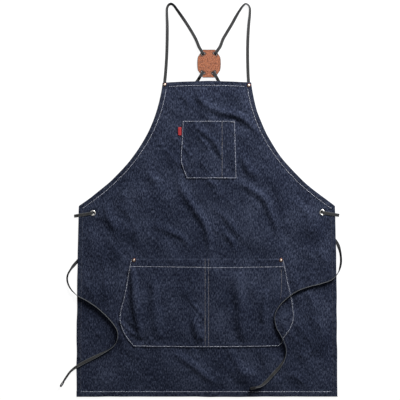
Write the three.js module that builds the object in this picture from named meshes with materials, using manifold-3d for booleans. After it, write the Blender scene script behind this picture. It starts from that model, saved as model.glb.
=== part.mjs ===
// A cross-back denim apron, lying flat with its face up.
// Millimetres. +X is to the right of someone looking down on it, +Y runs from the hem to the
// neck, +Z is up through the cloth. The floor that it lies on is Z = 0.
import * as THREE from 'three';
import { mergeVertices } from 'three/addons/utils/BufferGeometryUtils.js';
import Module from 'manifold-3d';

const wasm = await Module();
wasm.setup();

// Layers, from the floor up
const GAP = 0.3;
const DENIM = 0.9;
const HEM = 2.2;
const PANEL_Z = HEM + GAP;
const PANEL_TOP = PANEL_Z + DENIM;
const FOLD_Z = PANEL_TOP + GAP;
const POCKET_Z = FOLD_Z + DENIM + GAP;
const POCKET_TOP = POCKET_Z + DENIM;

// Outline of the panel
const BIB_HALF = 118.5;
const BIB_Y = 313;
const BIB_BOW_Y = 322.5;
const HIP_HALF = 341.5;
const HIP_Y = -14.7;
const HEM_HALF = 348;
const HEM_Y = -525;
const SIDE_BULGE = [347, -150];
const ARMHOLE_UPPER = [135.4, 144.8];
const ARMHOLE_LOWER = [258, 39.6];

// Widths of the turned hems and pocket edges
const HEM_WIDE = 12.5;
const BOTTOM_HEM_WIDE = 15;
const BIB_HEM_HALF = 103;
const TURNED = 8;
const BIB_POCKET_HEM = 7;
const WAIST_POCKET_HEM = 22;

// Pocket outlines, anticlockwise from the top left corner
const BIB_POCKET = [
	[-65.4, 213], [-68, 160], [-70.5, 106], [-66, 87], [-54.2, 56.5], [79.8, 57.5], [75.8, 213],
];
const WAIST_POCKET = [
	[-203.7, -157], [-208, -179], [-221, -252], [-234, -308], [-230.5, -336], [-215, -367],
	[-196, -391], [0, -393.5], [190, -391], [200, -384], [208, -366], [226, -338],
	[232.5, -315], [229, -270], [218, -220], [205.3, -156.5],
];

// Tape of the harness and ties: a flat weave with slightly rounded edges
const TAPE_WIDE = 8.4;
const TAPE_THICK = 1.2;
const TAPE_ROUND = 0.35;
const STEPS_PER_SPAN = 3;
const CHANNEL_WIDE = TAPE_WIDE + 3;
const CHANNEL_HIGH = 1.6;

// Fastenings
const RIVET_R = 4.9;
const RIVET_HIGH = 1.5;
const BURR_R = 4.5;
const BURR_HIGH = 0.7;
const POST_R = 1.6;
const POST_HOLE_R = 1.95;
const BIB_RIVETS = { left: [-113, 307.5], right: [111.5, 305.5] };
const POCKET_RIVETS = { left: [-194.6, -160.5], right: [197.3, -160.5] };
const EYELET_R = 7.75;
const EYELET_HOLE_R = 4.7;
const BARREL_R = 5.05;
const FLANGE_HIGH = 0.6;
const WASHER_HIGH = 0.6;
const EYELETS = { left: [-304, -34.7], right: [307.8, -33.4] };

// Side tab, a folded ribbon that swings about the bib pocket's left seam
const TAB_X = -76.6;
const TAB_HINGE_X = -68.2;
const TAB_Y = [172.5, 194];
const TAB_THICK = 0.8;

// Leather keeper that the two tapes cross behind
const KEEPER = [5.6, 363.5];
const KEEPER_HALF = [30, 37.25];
const KEEPER_FLAT = 16.5;
const KEEPER_SIDE = 17.7;
const KEEPER_BOW = 3;
const KEEPER_Z = 3.3;
const LEATHER = 2.4;
const KEEPER_TOP = KEEPER_Z + LEATHER;
const SLOT_LONG = TAPE_WIDE + 1.2;
const SLOT_WIDE = 3.2;
const SLOTS = {
	upperLeft: [-15.5, 25], upperRight: [16.5, 25.5], lowerLeft: [-16, -23.3], lowerRight: [12.3, -23.3],
};
const OVER_KEEPER = KEEPER_TOP + GAP;

// ---------------------------------------------------------------- helpers

const group = new THREE.Group();

function add(name, geometry, finish, z = 0, x = 0, y = 0) {
	const mesh = new THREE.Mesh(geometry, finish());
	mesh.name = name;
	mesh.position.set(x, y, z);
	group.add(mesh);
	return mesh;
}

const finish = (color, roughness, metalness) => () =>
	new THREE.MeshStandardMaterial({ color, roughness, metalness });
const denim = finish(0x262d42, 0.9, 0);
const webbing = finish(0x3b3c40, 0.85, 0);
const leather = finish(0xa9683f, 0.6, 0);
const copper = finish(0x8c5a3c, 0.35, 1);
const nickel = finish(0xb9b9b4, 0.3, 1);
const ribbon = finish(0xa3202a, 0.8, 0);

function toSolid(geometry) {
	const bare = geometry.clone();
	bare.deleteAttribute('normal');
	bare.deleteAttribute('uv');
	const merged = mergeVertices(bare);
	return new wasm.Manifold(new wasm.Mesh({
		numProp: 3,
		vertProperties: new Float32Array(merged.attributes.position.array),
		triVerts: new Uint32Array(merged.index.array),
	}));
}

function cut(geometry, tools) {
	let solid = toSolid(geometry);
	for (const tool of tools) solid = solid.subtract(toSolid(tool));
	const { vertProperties, triVerts } = solid.getMesh();
	const result = new THREE.BufferGeometry();
	result.setAttribute('position', new THREE.BufferAttribute(vertProperties, 3));
	result.setIndex(new THREE.BufferAttribute(triVerts, 1));
	result.computeVertexNormals();
	return result;
}

function slab(shape, depth, curveSegments = 24) {
	return new THREE.ExtrudeGeometry(shape, { depth, bevelEnabled: false, curveSegments });
}

function polygon(points) {
	return new THREE.Shape(points.map(([x, y]) => new THREE.Vector2(x, y)));
}

function roundHole([x, y], radius) {
	return new THREE.Path().absarc(x, y, radius, 0, 2 * Math.PI, true);
}

function roundTool([x, y], radius) {
	return new THREE.CylinderGeometry(radius, radius, 20, 24).rotateX(Math.PI / 2).translate(x, y, 0);
}

// A closed profile of [radius, height] points spun about Z
function turned(profile, segments = 28) {
	const ring = [...profile, profile[0]].map(([r, z]) => new THREE.Vector2(r, z));
	return new THREE.LatheGeometry(ring, segments).rotateX(Math.PI / 2);
}

// A convex outline moved inwards by a distance, side by side
function inset(points, distance) {
	const area = points.reduce((sum, [x, y], i) => {
		const [nextX, nextY] = points[(i + 1) % points.length];
		return sum + x * nextY - nextX * y;
	}, 0);
	const inward = Math.sign(area) * distance;
	const sides = points.map(([x, y], i) => {
		const [nextX, nextY] = points[(i + 1) % points.length];
		const length = Math.hypot(nextX - x, nextY - y);
		const along = [(nextX - x) / length, (nextY - y) / length];
		return { start: [x - along[1] * inward, y + along[0] * inward], along };
	});
	return sides.map((side, i) => {
		const before = sides[(i + sides.length - 1) % sides.length];
		const [gapX, gapY] = [side.start[0] - before.start[0], side.start[1] - before.start[1]];
		const turn = before.along[0] * side.along[1] - before.along[1] * side.along[0];
		const reach = (gapX * side.along[1] - gapY * side.along[0]) / turn;
		return [before.start[0] + before.along[0] * reach, before.start[1] + before.along[1] * reach];
	});
}

// A strip of cloth along part of an edge curve, on the curve's left for a positive width
function strip(curve, from, to, width, samples = 20) {
	const outer = [];
	const inner = [];
	for (let i = 0; i <= samples; i++) {
		const t = from + ((to - from) * i) / samples;
		const point = curve.getPoint(t);
		const along = curve.getTangent(t);
		outer.push([point.x, point.y]);
		inner.push([point.x - along.y * width, point.y + along.x * width]);
	}
	return polygon([...outer, ...inner.reverse()]);
}

// How far a tape's middle is above its lower side when it stands at an angle
function halfHeight(stand) {
	return (TAPE_WIDE * Math.sin(stand) + TAPE_THICK * Math.cos(stand)) / 2;
}

// Where a tape lies: its lower side is at a height, and it stands from 0 (flat) to 90 (on edge)
function lie(x, y, under, stand = 0) {
	return { x, y, under, stand: THREE.MathUtils.degToRad(stand) };
}

// A point that a flat tape's centre passes through while it bends up or down
function pass(x, y, z) {
	return { x, y, under: z - halfHeight(0), stand: 0 };
}

// The curve of a tape, which also says how the tape is turned at each step. Its height never
// overshoots between two stops, so it doesn't cut into what it lies on.
class TapePath extends THREE.CatmullRomCurve3 {
	constructor(stops) {
		super(stops.map(({ x, y }) => new THREE.Vector3(x, y, 0)), false, 'centripetal');
		this.stops = stops;
	}

	getSpacedPoints(steps) {
		return this.getPoints(steps);
	}

	at(t, key) {
		const place = t * (this.stops.length - 1);
		const first = Math.min(Math.floor(place), this.stops.length - 2);
		const value = (i) => this.stops[i][key];
		const rise = (i) => value(i + 1) - value(i);
		const slope = (i) => {
			if (i === 0) return rise(0);
			if (i === this.stops.length - 1) return rise(i - 1);
			const [before, after] = [rise(i - 1), rise(i)];
			return before * after > 0 ? (2 * before * after) / (before + after) : 0;
		};
		const f = place - first;
		return value(first) * (1 + 2 * f) * (1 - f) ** 2 + slope(first) * f * (1 - f) ** 2
			+ value(first + 1) * f * f * (3 - 2 * f) + slope(first + 1) * f * f * (f - 1);
	}

	getPoint(t, target = new THREE.Vector3()) {
		super.getPoint(t, target);
		target.z = this.at(t, 'under') + halfHeight(this.at(t, 'stand'));
		return target;
	}

	computeFrenetFrames(steps) {
		const up = new THREE.Vector3(0, 0, 1);
		const frames = { tangents: [], normals: [], binormals: [] };
		let level = null;
		for (let i = 0; i <= steps; i++) {
			const tangent = this.getTangent(i / steps);
			let across = up.clone().cross(tangent);
			if (across.length() < 0.3 && level) across = level.clone();
			across.addScaledVector(tangent, -across.dot(tangent)).normalize();
			if (level && across.dot(level) < 0) across.negate();
			level = across;
			const stand = this.at(i / steps, 'stand');
			const wide = level.clone().multiplyScalar(Math.cos(stand));
			wide.addScaledVector(tangent.clone().cross(level), Math.sin(stand)).normalize();
			frames.tangents.push(tangent);
			frames.normals.push(wide);
			frames.binormals.push(tangent.clone().cross(wide));
		}
		return frames;
	}
}

function tape(stops) {
	const [w, h, c] = [TAPE_WIDE / 2, TAPE_THICK / 2, TAPE_ROUND];
	const section = polygon([
		[-w + c, -h], [w - c, -h], [w, -h + c], [w, h - c], [w - c, h], [-w + c, h], [-w, h - c], [-w, -h + c],
	]);
	const steps = (stops.length - 1) * STEPS_PER_SPAN;
	return new THREE.ExtrudeGeometry(section, { steps, bevelEnabled: false, extrudePath: new TapePath(stops) });
}

// A channel under a hem, for a tape that runs through a place with a heading in degrees
function channel([x, y], heading, length = 44) {
	return new THREE.BoxGeometry(length, CHANNEL_WIDE, 2 * CHANNEL_HIGH)
		.rotateZ(THREE.MathUtils.degToRad(heading))
		.translate(x, y, 0);
}

// ---------------------------------------------------------------- body cloth

const side = { left: -1, right: 1 };

function armholeEdge(s) {
	return new THREE.CubicBezierCurve(
		new THREE.Vector2(s * BIB_HALF, BIB_Y),
		new THREE.Vector2(s * ARMHOLE_UPPER[0], ARMHOLE_UPPER[1]),
		new THREE.Vector2(s * ARMHOLE_LOWER[0], ARMHOLE_LOWER[1]),
		new THREE.Vector2(s * HIP_HALF, HIP_Y),
	);
}

function sideEdge(s) {
	return new THREE.QuadraticBezierCurve(
		new THREE.Vector2(s * HIP_HALF, HIP_Y),
		new THREE.Vector2(s * SIDE_BULGE[0], SIDE_BULGE[1]),
		new THREE.Vector2(s * HEM_HALF, HEM_Y),
	);
}

const bibEdge = new THREE.QuadraticBezierCurve(
	new THREE.Vector2(-BIB_HALF, BIB_Y),
	new THREE.Vector2(0, BIB_BOW_Y),
	new THREE.Vector2(BIB_HALF, BIB_Y),
);

function panelShape() {
	const shape = new THREE.Shape();
	shape.moveTo(-HEM_HALF, HEM_Y);
	shape.lineTo(HEM_HALF, HEM_Y);
	shape.quadraticCurveTo(SIDE_BULGE[0], SIDE_BULGE[1], HIP_HALF, HIP_Y);
	shape.bezierCurveTo(ARMHOLE_LOWER[0], ARMHOLE_LOWER[1], ARMHOLE_UPPER[0], ARMHOLE_UPPER[1], BIB_HALF, BIB_Y);
	shape.quadraticCurveTo(0, BIB_BOW_Y, -BIB_HALF, BIB_Y);
	shape.bezierCurveTo(-ARMHOLE_UPPER[0], ARMHOLE_UPPER[1], -ARMHOLE_LOWER[0], ARMHOLE_LOWER[1], -HIP_HALF, HIP_Y);
	shape.quadraticCurveTo(-SIDE_BULGE[0], SIDE_BULGE[1], -HEM_HALF, HEM_Y);
	for (const rivet of [...Object.values(BIB_RIVETS), ...Object.values(POCKET_RIVETS)]) {
		shape.holes.push(roundHole(rivet, POST_HOLE_R));
	}
	for (const eyelet of Object.values(EYELETS)) shape.holes.push(roundHole(eyelet, BARREL_R + GAP));
	return shape;
}

add('body_panel', slab(panelShape(), DENIM), denim, PANEL_Z);

// The harness leaves under the bib hem, and each tie passes twice under its side hem
const BIB_CHANNELS = [channel([34.5, 312], -58), channel([-30, 312], -126)];
const SIDE_CHANNELS = {
	left: [channel([-337, -40.8], 9.5), channel([-338, -155.5], 47)],
	right: [channel([338, -38.8], -9.5), channel([338.5, -103.5], -50)],
};
const bibHemSpan = [0.5 - BIB_HEM_HALF / (2 * BIB_HALF), 0.5 + BIB_HEM_HALF / (2 * BIB_HALF)];
add('bib_top_hem', cut(slab(strip(bibEdge, ...bibHemSpan, -HEM_WIDE), HEM), BIB_CHANNELS), denim);
add('bottom_hem', slab(polygon([
	[-HEM_HALF, HEM_Y], [HEM_HALF, HEM_Y],
	[HEM_HALF, HEM_Y + BOTTOM_HEM_WIDE], [-HEM_HALF, HEM_Y + BOTTOM_HEM_WIDE],
]), HEM), denim);
for (const [name, s] of Object.entries(side)) {
	const armhole = strip(armholeEdge(s), 0.034, 0.955, s * -HEM_WIDE, 28);
	add(`armhole_hem_${name}`, slab(armhole, HEM), denim);
	const sideStrip = strip(sideEdge(s), 0.004, 0.968, s * -HEM_WIDE, 8);
	add(`side_hem_${name}`, cut(slab(sideStrip, HEM), SIDE_CHANNELS[name]), denim);
}

// ---------------------------------------------------------------- pockets

// A pocket is its front, the hem folded behind its mouth and the edges turned under elsewhere
function pocket(name, outline, hemWide, rivets) {
	const holes = rivets.map((rivet) => roundTool(rivet, POST_HOLE_R));
	const front = slab(polygon(outline), DENIM);
	add(`${name}_front`, rivets.length ? cut(front, holes) : front, denim, POCKET_Z);

	const top = Math.max(outline[0][1], outline.at(-1)[1]);
	const wide = outline.map(([x]) => Math.abs(x)).reduce((a, b) => Math.max(a, b)) + 10;
	const foldLine = top - hemWide;
	const box = (low, high) => new THREE.BoxGeometry(2 * wide, high - low, 8).translate(0, (low + high) / 2, 0);
	const whole = slab(polygon(outline), DENIM);
	add(`${name}_hem`, cut(whole, [box(foldLine - 600, foldLine), ...holes]), denim, FOLD_Z);
	const inside = slab(polygon(inset(outline, TURNED)), 4).translate(0, 0, -1);
	add(`${name}_turned_edge`, cut(whole, [inside, box(foldLine - GAP, foldLine + 100)]), denim, FOLD_Z);
}

pocket('bib_pocket', BIB_POCKET, BIB_POCKET_HEM, []);
pocket('waist_pocket', WAIST_POCKET, WAIST_POCKET_HEM, Object.values(POCKET_RIVETS));

add('side_tab', slab(polygon([
	[TAB_X, TAB_Y[0]], [TAB_HINGE_X, TAB_Y[0]], [TAB_HINGE_X, TAB_Y[1]], [TAB_X, TAB_Y[1]],
]), TAB_THICK), ribbon, FOLD_Z);

// ---------------------------------------------------------------- rivets and eyelets

function rivet(name, [x, y], seat, burrZ) {
	const foot = burrZ + BURR_HIGH / 2 - seat;
	add(name, turned([
		[0, foot], [POST_R, foot], [POST_R, 0], [RIVET_R, 0], [RIVET_R, 0.4 * RIVET_HIGH],
		[0.8 * RIVET_R, 0.85 * RIVET_HIGH], [0.45 * RIVET_R, RIVET_HIGH], [0, RIVET_HIGH],
	], 24), copper, seat, x, y);
	add(`${name}_burr`, turned([
		[POST_HOLE_R, 0], [BURR_R, 0], [BURR_R, BURR_HIGH], [POST_HOLE_R, BURR_HIGH],
	], 24), copper, burrZ, x, y);
}

function eyelet(name, [x, y]) {
	const foot = PANEL_Z - GAP - WASHER_HIGH - FOLD_Z;
	add(name, turned([
		[EYELET_HOLE_R, foot], [BARREL_R, foot], [BARREL_R, 0], [EYELET_R, 0],
		[EYELET_R - 0.2, FLANGE_HIGH], [EYELET_HOLE_R, FLANGE_HIGH],
	]), nickel, FOLD_Z, x, y);
	add(`${name}_washer`, turned([
		[BARREL_R + GAP, 0], [EYELET_R - 0.25, 0], [EYELET_R - 0.25, WASHER_HIGH], [BARREL_R + GAP, WASHER_HIGH],
	]), nickel, PANEL_Z - GAP - WASHER_HIGH, x, y);
}

const STRAP_END_UNDER = BURR_HIGH + GAP;
for (const name of Object.keys(side)) {
	rivet(`bib_rivet_${name}`, BIB_RIVETS[name], FOLD_Z, 0);
	rivet(`pocket_rivet_${name}`, POCKET_RIVETS[name], POCKET_TOP + GAP, PANEL_Z - GAP - BURR_HIGH);
	eyelet(`eyelet_${name}`, EYELETS[name]);
}

// ---------------------------------------------------------------- leather keeper

const slotAt = Object.fromEntries(
	Object.entries(SLOTS).map(([name, [x, y]]) => [name, [KEEPER[0] + x, KEEPER[1] + y]]),
);

function heading(from, to) {
	const length = Math.hypot(to[0] - from[0], to[1] - from[1]);
	return [(to[0] - from[0]) / length, (to[1] - from[1]) / length];
}

const toRight = heading(slotAt.upperLeft, slotAt.lowerRight);
const toLeft = heading(slotAt.upperRight, slotAt.lowerLeft);

function slotHole([x, y], [alongX, alongY]) {
	const [l, w] = [SLOT_LONG / 2, SLOT_WIDE / 2];
	const corner = (a, b) => new THREE.Vector2(x - alongY * a + alongX * b, y + alongX * a + alongY * b);
	return new THREE.Path([corner(-l, -w), corner(-l, w), corner(l, w), corner(l, -w)]);
}

function keeperShape() {
	const [halfX, halfY] = KEEPER_HALF;
	const shape = new THREE.Shape();
	shape.moveTo(-KEEPER_FLAT, -halfY);
	shape.lineTo(KEEPER_FLAT, -halfY);
	shape.lineTo(halfX, -KEEPER_SIDE);
	shape.quadraticCurveTo(halfX + KEEPER_BOW, 0, halfX, KEEPER_SIDE);
	shape.lineTo(KEEPER_FLAT, halfY);
	shape.lineTo(-KEEPER_FLAT, halfY);
	shape.lineTo(-halfX, KEEPER_SIDE);
	shape.quadraticCurveTo(-halfX - KEEPER_BOW, 0, -halfX, -KEEPER_SIDE);
	shape.closePath();
	shape.holes.push(slotHole(SLOTS.upperLeft, toRight), slotHole(SLOTS.lowerRight, toRight));
	shape.holes.push(slotHole(SLOTS.upperRight, toLeft), slotHole(SLOTS.lowerLeft, toLeft));
	return shape;
}

add('keeper', slab(keeperShape(), LEATHER, 6), leather, KEEPER_Z, ...KEEPER);

// A tape dips through its upper slot, crosses behind the leather and comes up through the lower one
const BEND = 1.8;
const STUB = 2.2;

function dip(slot, along, low, sign) {
	const at = (distance, z) => pass(slot[0] + sign * along[0] * distance, slot[1] + sign * along[1] * distance, z);
	const high = OVER_KEEPER + TAPE_THICK / 2;
	const lowBend = Math.min(BEND, 1.6);
	const stops = [
		at(-STUB, high), at(-BEND, high), at(-0.3 * BEND, high - 0.3 * BEND), at(0, high - BEND),
		at(0, low + lowBend), at(0.3 * lowBend, low + 0.3 * lowBend), at(lowBend, low),
	];
	return sign > 0 ? stops : stops.reverse();
}

function crossing(from, to, along, low) {
	const half = pass((from[0] + to[0]) / 2, (from[1] + to[1]) / 2, low);
	const near = pass(from[0] + along[0] * 6, from[1] + along[1] * 6, low);
	const far = pass(to[0] - along[0] * 6, to[1] - along[1] * 6, low);
	return tape([...dip(from, along, low, 1), near, half, far, ...dip(to, along, low, -1)]);
}

const LOW = 0.05 + TAPE_THICK / 2;
add('keeper_crossing_lower', crossing(slotAt.upperLeft, slotAt.lowerRight, toRight, LOW), webbing);
add('keeper_crossing_upper', crossing(slotAt.upperRight, slotAt.lowerLeft, toLeft, LOW + TAPE_THICK + GAP), webbing);

// ---------------------------------------------------------------- harness

const ON_FLOOR = 0.05;
const ON_PANEL = PANEL_TOP + GAP;
const ON_POCKET = POCKET_TOP + GAP;

// A stop on a line through a slot, back along the tape's heading
function before(slot, along, distance, under) {
	return lie(slot[0] - along[0] * distance, slot[1] - along[1] * distance, under);
}

const SHOULDER_LEFT = [
	lie(-113.5, 298, STRAP_END_UNDER), lie(-113, 307.5, STRAP_END_UNDER), lie(-112, 320, 0.8),
	lie(-110.5, 336, ON_FLOOR), lie(-107.5, 379, ON_FLOOR), lie(-106, 425, ON_FLOOR, 5),
	lie(-105.7, 467, ON_FLOOR, 20), lie(-106.6, 497, ON_FLOOR, 45), lie(-106, 512, ON_FLOOR, 60),
	lie(-101.8, 520.2, ON_FLOOR, 66), lie(-95, 522.9, ON_FLOOR, 66), lie(-88, 518.4, ON_FLOOR, 60),
	lie(-80.5, 508.5, ON_FLOOR, 45), lie(-70, 494, ON_FLOOR, 22), lie(-56.6, 474.5, ON_FLOOR, 5),
	lie(-40, 448, 0.4), lie(-29, 427.5, 2.4), before(slotAt.upperLeft, toRight, 22, 4.8),
	before(slotAt.upperLeft, toRight, 12, OVER_KEEPER), before(slotAt.upperLeft, toRight, STUB + GAP, OVER_KEEPER),
];
const SHOULDER_RIGHT = [
	lie(112, 298.5, STRAP_END_UNDER), lie(111.5, 305.5, STRAP_END_UNDER), lie(110.8, 320, 0.8),
	lie(109.9, 336, ON_FLOOR), lie(108.8, 379, ON_FLOOR), lie(109.2, 425, ON_FLOOR, 8),
	lie(111.6, 467, ON_FLOOR, 24), lie(114.6, 497, ON_FLOOR, 45), lie(114.4, 511.5, ON_FLOOR, 60),
	lie(110, 520, ON_FLOOR, 66), lie(103, 522.9, ON_FLOOR, 66), lie(95.5, 517, ON_FLOOR, 60),
	lie(86.5, 504, ON_FLOOR, 42), lie(78, 490, ON_FLOOR, 20), lie(67, 470, ON_FLOOR, 5),
	lie(51.5, 444, 0.4), lie(43.5, 430, 2.0), before(slotAt.upperRight, toLeft, 24, 4.6),
	before(slotAt.upperRight, toLeft, 12, OVER_KEEPER), before(slotAt.upperRight, toLeft, STUB + GAP, OVER_KEEPER),
];
const strapHole = { left: BIB_RIVETS.left, right: BIB_RIVETS.right };
add('shoulder_strap_left', cut(tape(SHOULDER_LEFT), [roundTool(strapHole.left, POST_HOLE_R)]), webbing);
add('shoulder_strap_right', cut(tape(SHOULDER_RIGHT), [roundTool(strapHole.right, POST_HOLE_R)]), webbing);

// Behind the bib each tape runs flat to its eyelet and turns up into the barrel
function intoEyelet([x, y], [alongX, alongY]) {
	const at = (distance, z) => pass(x - alongX * distance, y - alongY * distance, z);
	return [at(9, LOW), at(3, LOW), at(0.9, LOW + 0.9), at(0, LOW + 1.8)];
}

const leaveRight = (distance, under) => before(slotAt.lowerRight, toRight, -distance, under);
const leaveLeft = (distance, under) => before(slotAt.lowerLeft, toLeft, -distance, under);
add('back_strap_right', tape([
	leaveRight(STUB + GAP, OVER_KEEPER), leaveRight(16.8, OVER_KEEPER), leaveRight(20.4, 2.7), leaveRight(24.2, ON_FLOOR),
	lie(43, 298, ON_FLOOR), lie(68, 256, ON_FLOOR), lie(112, 188, ON_FLOOR), lie(168, 112, ON_FLOOR),
	lie(232, 38, ON_FLOOR), lie(284, -12, ON_FLOOR), ...intoEyelet(EYELETS.right, heading([284, -12], EYELETS.right)),
]), webbing);
add('back_strap_left', tape([
	leaveLeft(STUB + GAP, OVER_KEEPER), leaveLeft(14.5, OVER_KEEPER), leaveLeft(18.8, 2.7), leaveLeft(23.6, ON_FLOOR),
	lie(-40, 298, ON_FLOOR), lie(-65, 256, ON_FLOOR), lie(-108, 188, ON_FLOOR), lie(-163, 112, ON_FLOOR),
	lie(-226, 38, ON_FLOOR), lie(-280, -14, ON_FLOOR), ...intoEyelet(EYELETS.left, heading([-280, -14], EYELETS.left)),
]), webbing);

// ---------------------------------------------------------------- ties

// Out of the barrel, over the face to the side edge, round it and back under the hem
const TIE_LEFT = [
	pass(-304, -34.7, 3.1), pass(-304.3, -34.7, 4.2), pass(-306, -35, 5.1), lie(-312.5, -36.1, 4.6),
	lie(-322, -37.7, 3.9), lie(-337, -40.2, ON_PANEL), lie(-349, -42.2, 3.5), pass(-353.6, -43, 2.4),
	lie(-349, -42.4, 0.1), lie(-338, -40.8, ON_FLOOR), lie(-326, -41.6, ON_FLOOR), lie(-316.5, -52, ON_FLOOR),
	lie(-313, -72, ON_FLOOR), lie(-314, -98, ON_FLOOR), lie(-320, -126, ON_FLOOR), lie(-332, -149, ON_FLOOR),
	lie(-346, -164, ON_FLOOR), lie(-354, -173, ON_FLOOR, 8), lie(-363, -185, ON_FLOOR, 50),
	lie(-370, -197, ON_FLOOR, 85), lie(-372.5, -208, ON_FLOOR, 90), lie(-370.5, -222, 0.4, 90), lie(-362, -238, 2.2, 90),
	lie(-349, -251.5, ON_PANEL, 90), lie(-336, -259.5, ON_PANEL, 90), lie(-322, -266.5, ON_PANEL, 90),
	lie(-297, -283, ON_PANEL, 90), lie(-269, -307.5, ON_PANEL, 90), lie(-250, -328.5, ON_PANEL, 90),
	lie(-239, -346, ON_PANEL, 90), lie(-237, -363, ON_PANEL, 90), lie(-243, -382, ON_PANEL, 90),
	lie(-257, -396, ON_PANEL, 86), lie(-273, -405, ON_PANEL, 70), lie(-297, -417.5, ON_PANEL, 30),
	lie(-324, -431, ON_PANEL, 14), lie(-350, -446, ON_PANEL, 38), lie(-363.5, -457, 1.4, 68),
	lie(-374, -471, ON_FLOOR, 82), lie(-384, -486.5, ON_FLOOR, 80),
];
const TIE_RIGHT = [
	pass(307.8, -33.4, 3.1), pass(308.1, -33.4, 4.2), pass(309.8, -33.7, 5.1), lie(316, -34.7, 4.6),
	lie(325, -36.2, 3.9), lie(338, -38.4, ON_PANEL), lie(348, -40, 3.5), pass(352.4, -40.8, 2.4),
	lie(348, -40.3, 0.1), lie(338, -38.8, ON_FLOOR), lie(327, -39.2, ON_FLOOR), lie(320, -49.5, ON_FLOOR),
	lie(320.5, -66, ON_FLOOR), lie(325, -84, ON_FLOOR), lie(334, -98, ON_FLOOR), lie(345, -111, ON_FLOOR),
	lie(350, -120, ON_FLOOR, 8), lie(355, -137, ON_FLOOR, 50), lie(357.3, -153, ON_FLOOR, 85),
	lie(357.3, -167, 0.3, 90), lie(354.5, -181, 1.4, 90), lie(349.5, -193.5, ON_PANEL, 90), lie(338, -207.5, ON_PANEL, 90),
	lie(325, -215.5, ON_PANEL, 90), lie(303, -222.5, ON_PANEL, 90), lie(268, -231.5, ON_PANEL, 90),
	lie(243, -241, 5, 90), lie(228, -249.5, ON_POCKET, 90), lie(211, -262.5, ON_POCKET, 90),
	lie(190, -285, ON_POCKET, 90), lie(180.5, -308, ON_POCKET, 90), lie(184, -336, ON_POCKET, 90),
	lie(196, -359, ON_POCKET, 90), lie(205.5, -377, ON_POCKET, 90), lie(211, -399, ON_PANEL, 88),
	lie(206, -424, ON_PANEL, 74), lie(192, -446, ON_PANEL, 40), lie(174, -466, ON_PANEL, 16),
	lie(157.5, -484, ON_PANEL, 30), lie(143, -495, ON_PANEL, 62), lie(127, -499.5, ON_PANEL, 74),
];
add('tie_left', tape(TIE_LEFT), webbing);
add('tie_right', tape(TIE_RIGHT), webbing);

// The last few millimetres of a tie are folded over into a small lump
const TIP = [13, 4.4, 7.6];

function tieTip(name, from, towards, under) {
	const [alongX, alongY] = heading(from, towards);
	const body = new THREE.CapsuleGeometry(TIP[1] / 2, TIP[0] - TIP[1], 4, 10).scale(1, 1, TIP[2] / TIP[1]);
	const mesh = add(name, body, webbing, under + TIP[2] / 2, towards[0], towards[1]);
	mesh.rotation.z = Math.atan2(alongY, alongX) - Math.PI / 2;
}

tieTip('tie_tip_left', [-384, -486.5], [-388.2, -493.5], ON_FLOOR);
tieTip('tie_tip_right', [127, -499.5], [118.5, -501], ON_PANEL);

export default group;
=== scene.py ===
"""Looks for a cross-back denim apron that lies face up on a pale floor.

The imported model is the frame. Every piece of cloth, tape, leather and metal is made here in its
place: one set of soft folds is shared by the panel, the pockets on it, the stitches in it and the
ties that lie over it, so no layer cuts into the next one. Lengths inside the script are in
millimetres unless a name or docstring says metres; meshes are turned into metres as they are made.
"""

import logging
import math
from dataclasses import dataclass, field
from enum import Enum
from typing import Callable, Iterable, Optional, Sequence

import bmesh
import bpy
import numpy as np
from mathutils import Matrix, Vector
from mathutils.bvhtree import BVHTree


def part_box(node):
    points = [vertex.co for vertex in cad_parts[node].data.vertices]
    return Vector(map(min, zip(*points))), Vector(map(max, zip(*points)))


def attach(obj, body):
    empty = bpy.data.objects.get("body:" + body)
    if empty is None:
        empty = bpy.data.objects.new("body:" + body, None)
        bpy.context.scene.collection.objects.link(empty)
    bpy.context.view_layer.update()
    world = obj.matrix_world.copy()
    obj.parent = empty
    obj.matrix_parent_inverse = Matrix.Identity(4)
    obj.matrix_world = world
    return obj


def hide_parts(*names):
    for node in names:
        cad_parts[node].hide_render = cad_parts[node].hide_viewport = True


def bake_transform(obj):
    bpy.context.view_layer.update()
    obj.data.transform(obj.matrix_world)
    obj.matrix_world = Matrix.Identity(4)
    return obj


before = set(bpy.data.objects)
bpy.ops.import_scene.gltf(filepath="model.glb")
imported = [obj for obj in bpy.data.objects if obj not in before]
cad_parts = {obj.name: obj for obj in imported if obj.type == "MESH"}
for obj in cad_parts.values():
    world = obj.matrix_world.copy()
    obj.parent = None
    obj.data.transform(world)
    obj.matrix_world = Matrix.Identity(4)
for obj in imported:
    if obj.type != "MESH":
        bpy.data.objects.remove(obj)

LOG = logging.getLogger("apron")
MM = 0.001
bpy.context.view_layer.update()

Array = np.ndarray
Point = tuple[float, float]
StopRow = tuple[float, float, float, float]

# Layers of the lying cloth, from the floor up
DENIM = 0.9
PANEL_TOP = 2.9
HEM_RISE = 0.7
POCKET_OVER_PANEL = 1.95
HEM_WIDE = 12.5
BOTTOM_HEM_WIDE = 15.0
STITCH_IN_HEM = 11.6
WAIST_MOUTH_HEM = 22.0
POCKET_SEAT = 6.0
TAPE_WIDE = 8.4
TAPE_THICK = 1.2

# Upright rows of stitches on the pockets
CENTRE_SEAMS = (-4.8, 4.5)
PEN_SLOT = 40.5


def smoothstep(low: float, high: float, value: Array) -> Array:
    """A smooth ramp from 0 at low to 1 at high; low may be the larger of the two."""
    t = np.clip((np.asarray(value, float) - low) / (high - low), 0.0, 1.0)
    return t * t * (3.0 - 2.0 * t)


def middle_of(node: str) -> Array:
    """The middle of a CAD node's box, in millimetres."""
    low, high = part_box(node)
    return np.array((low + high) / 2) / MM


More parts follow.
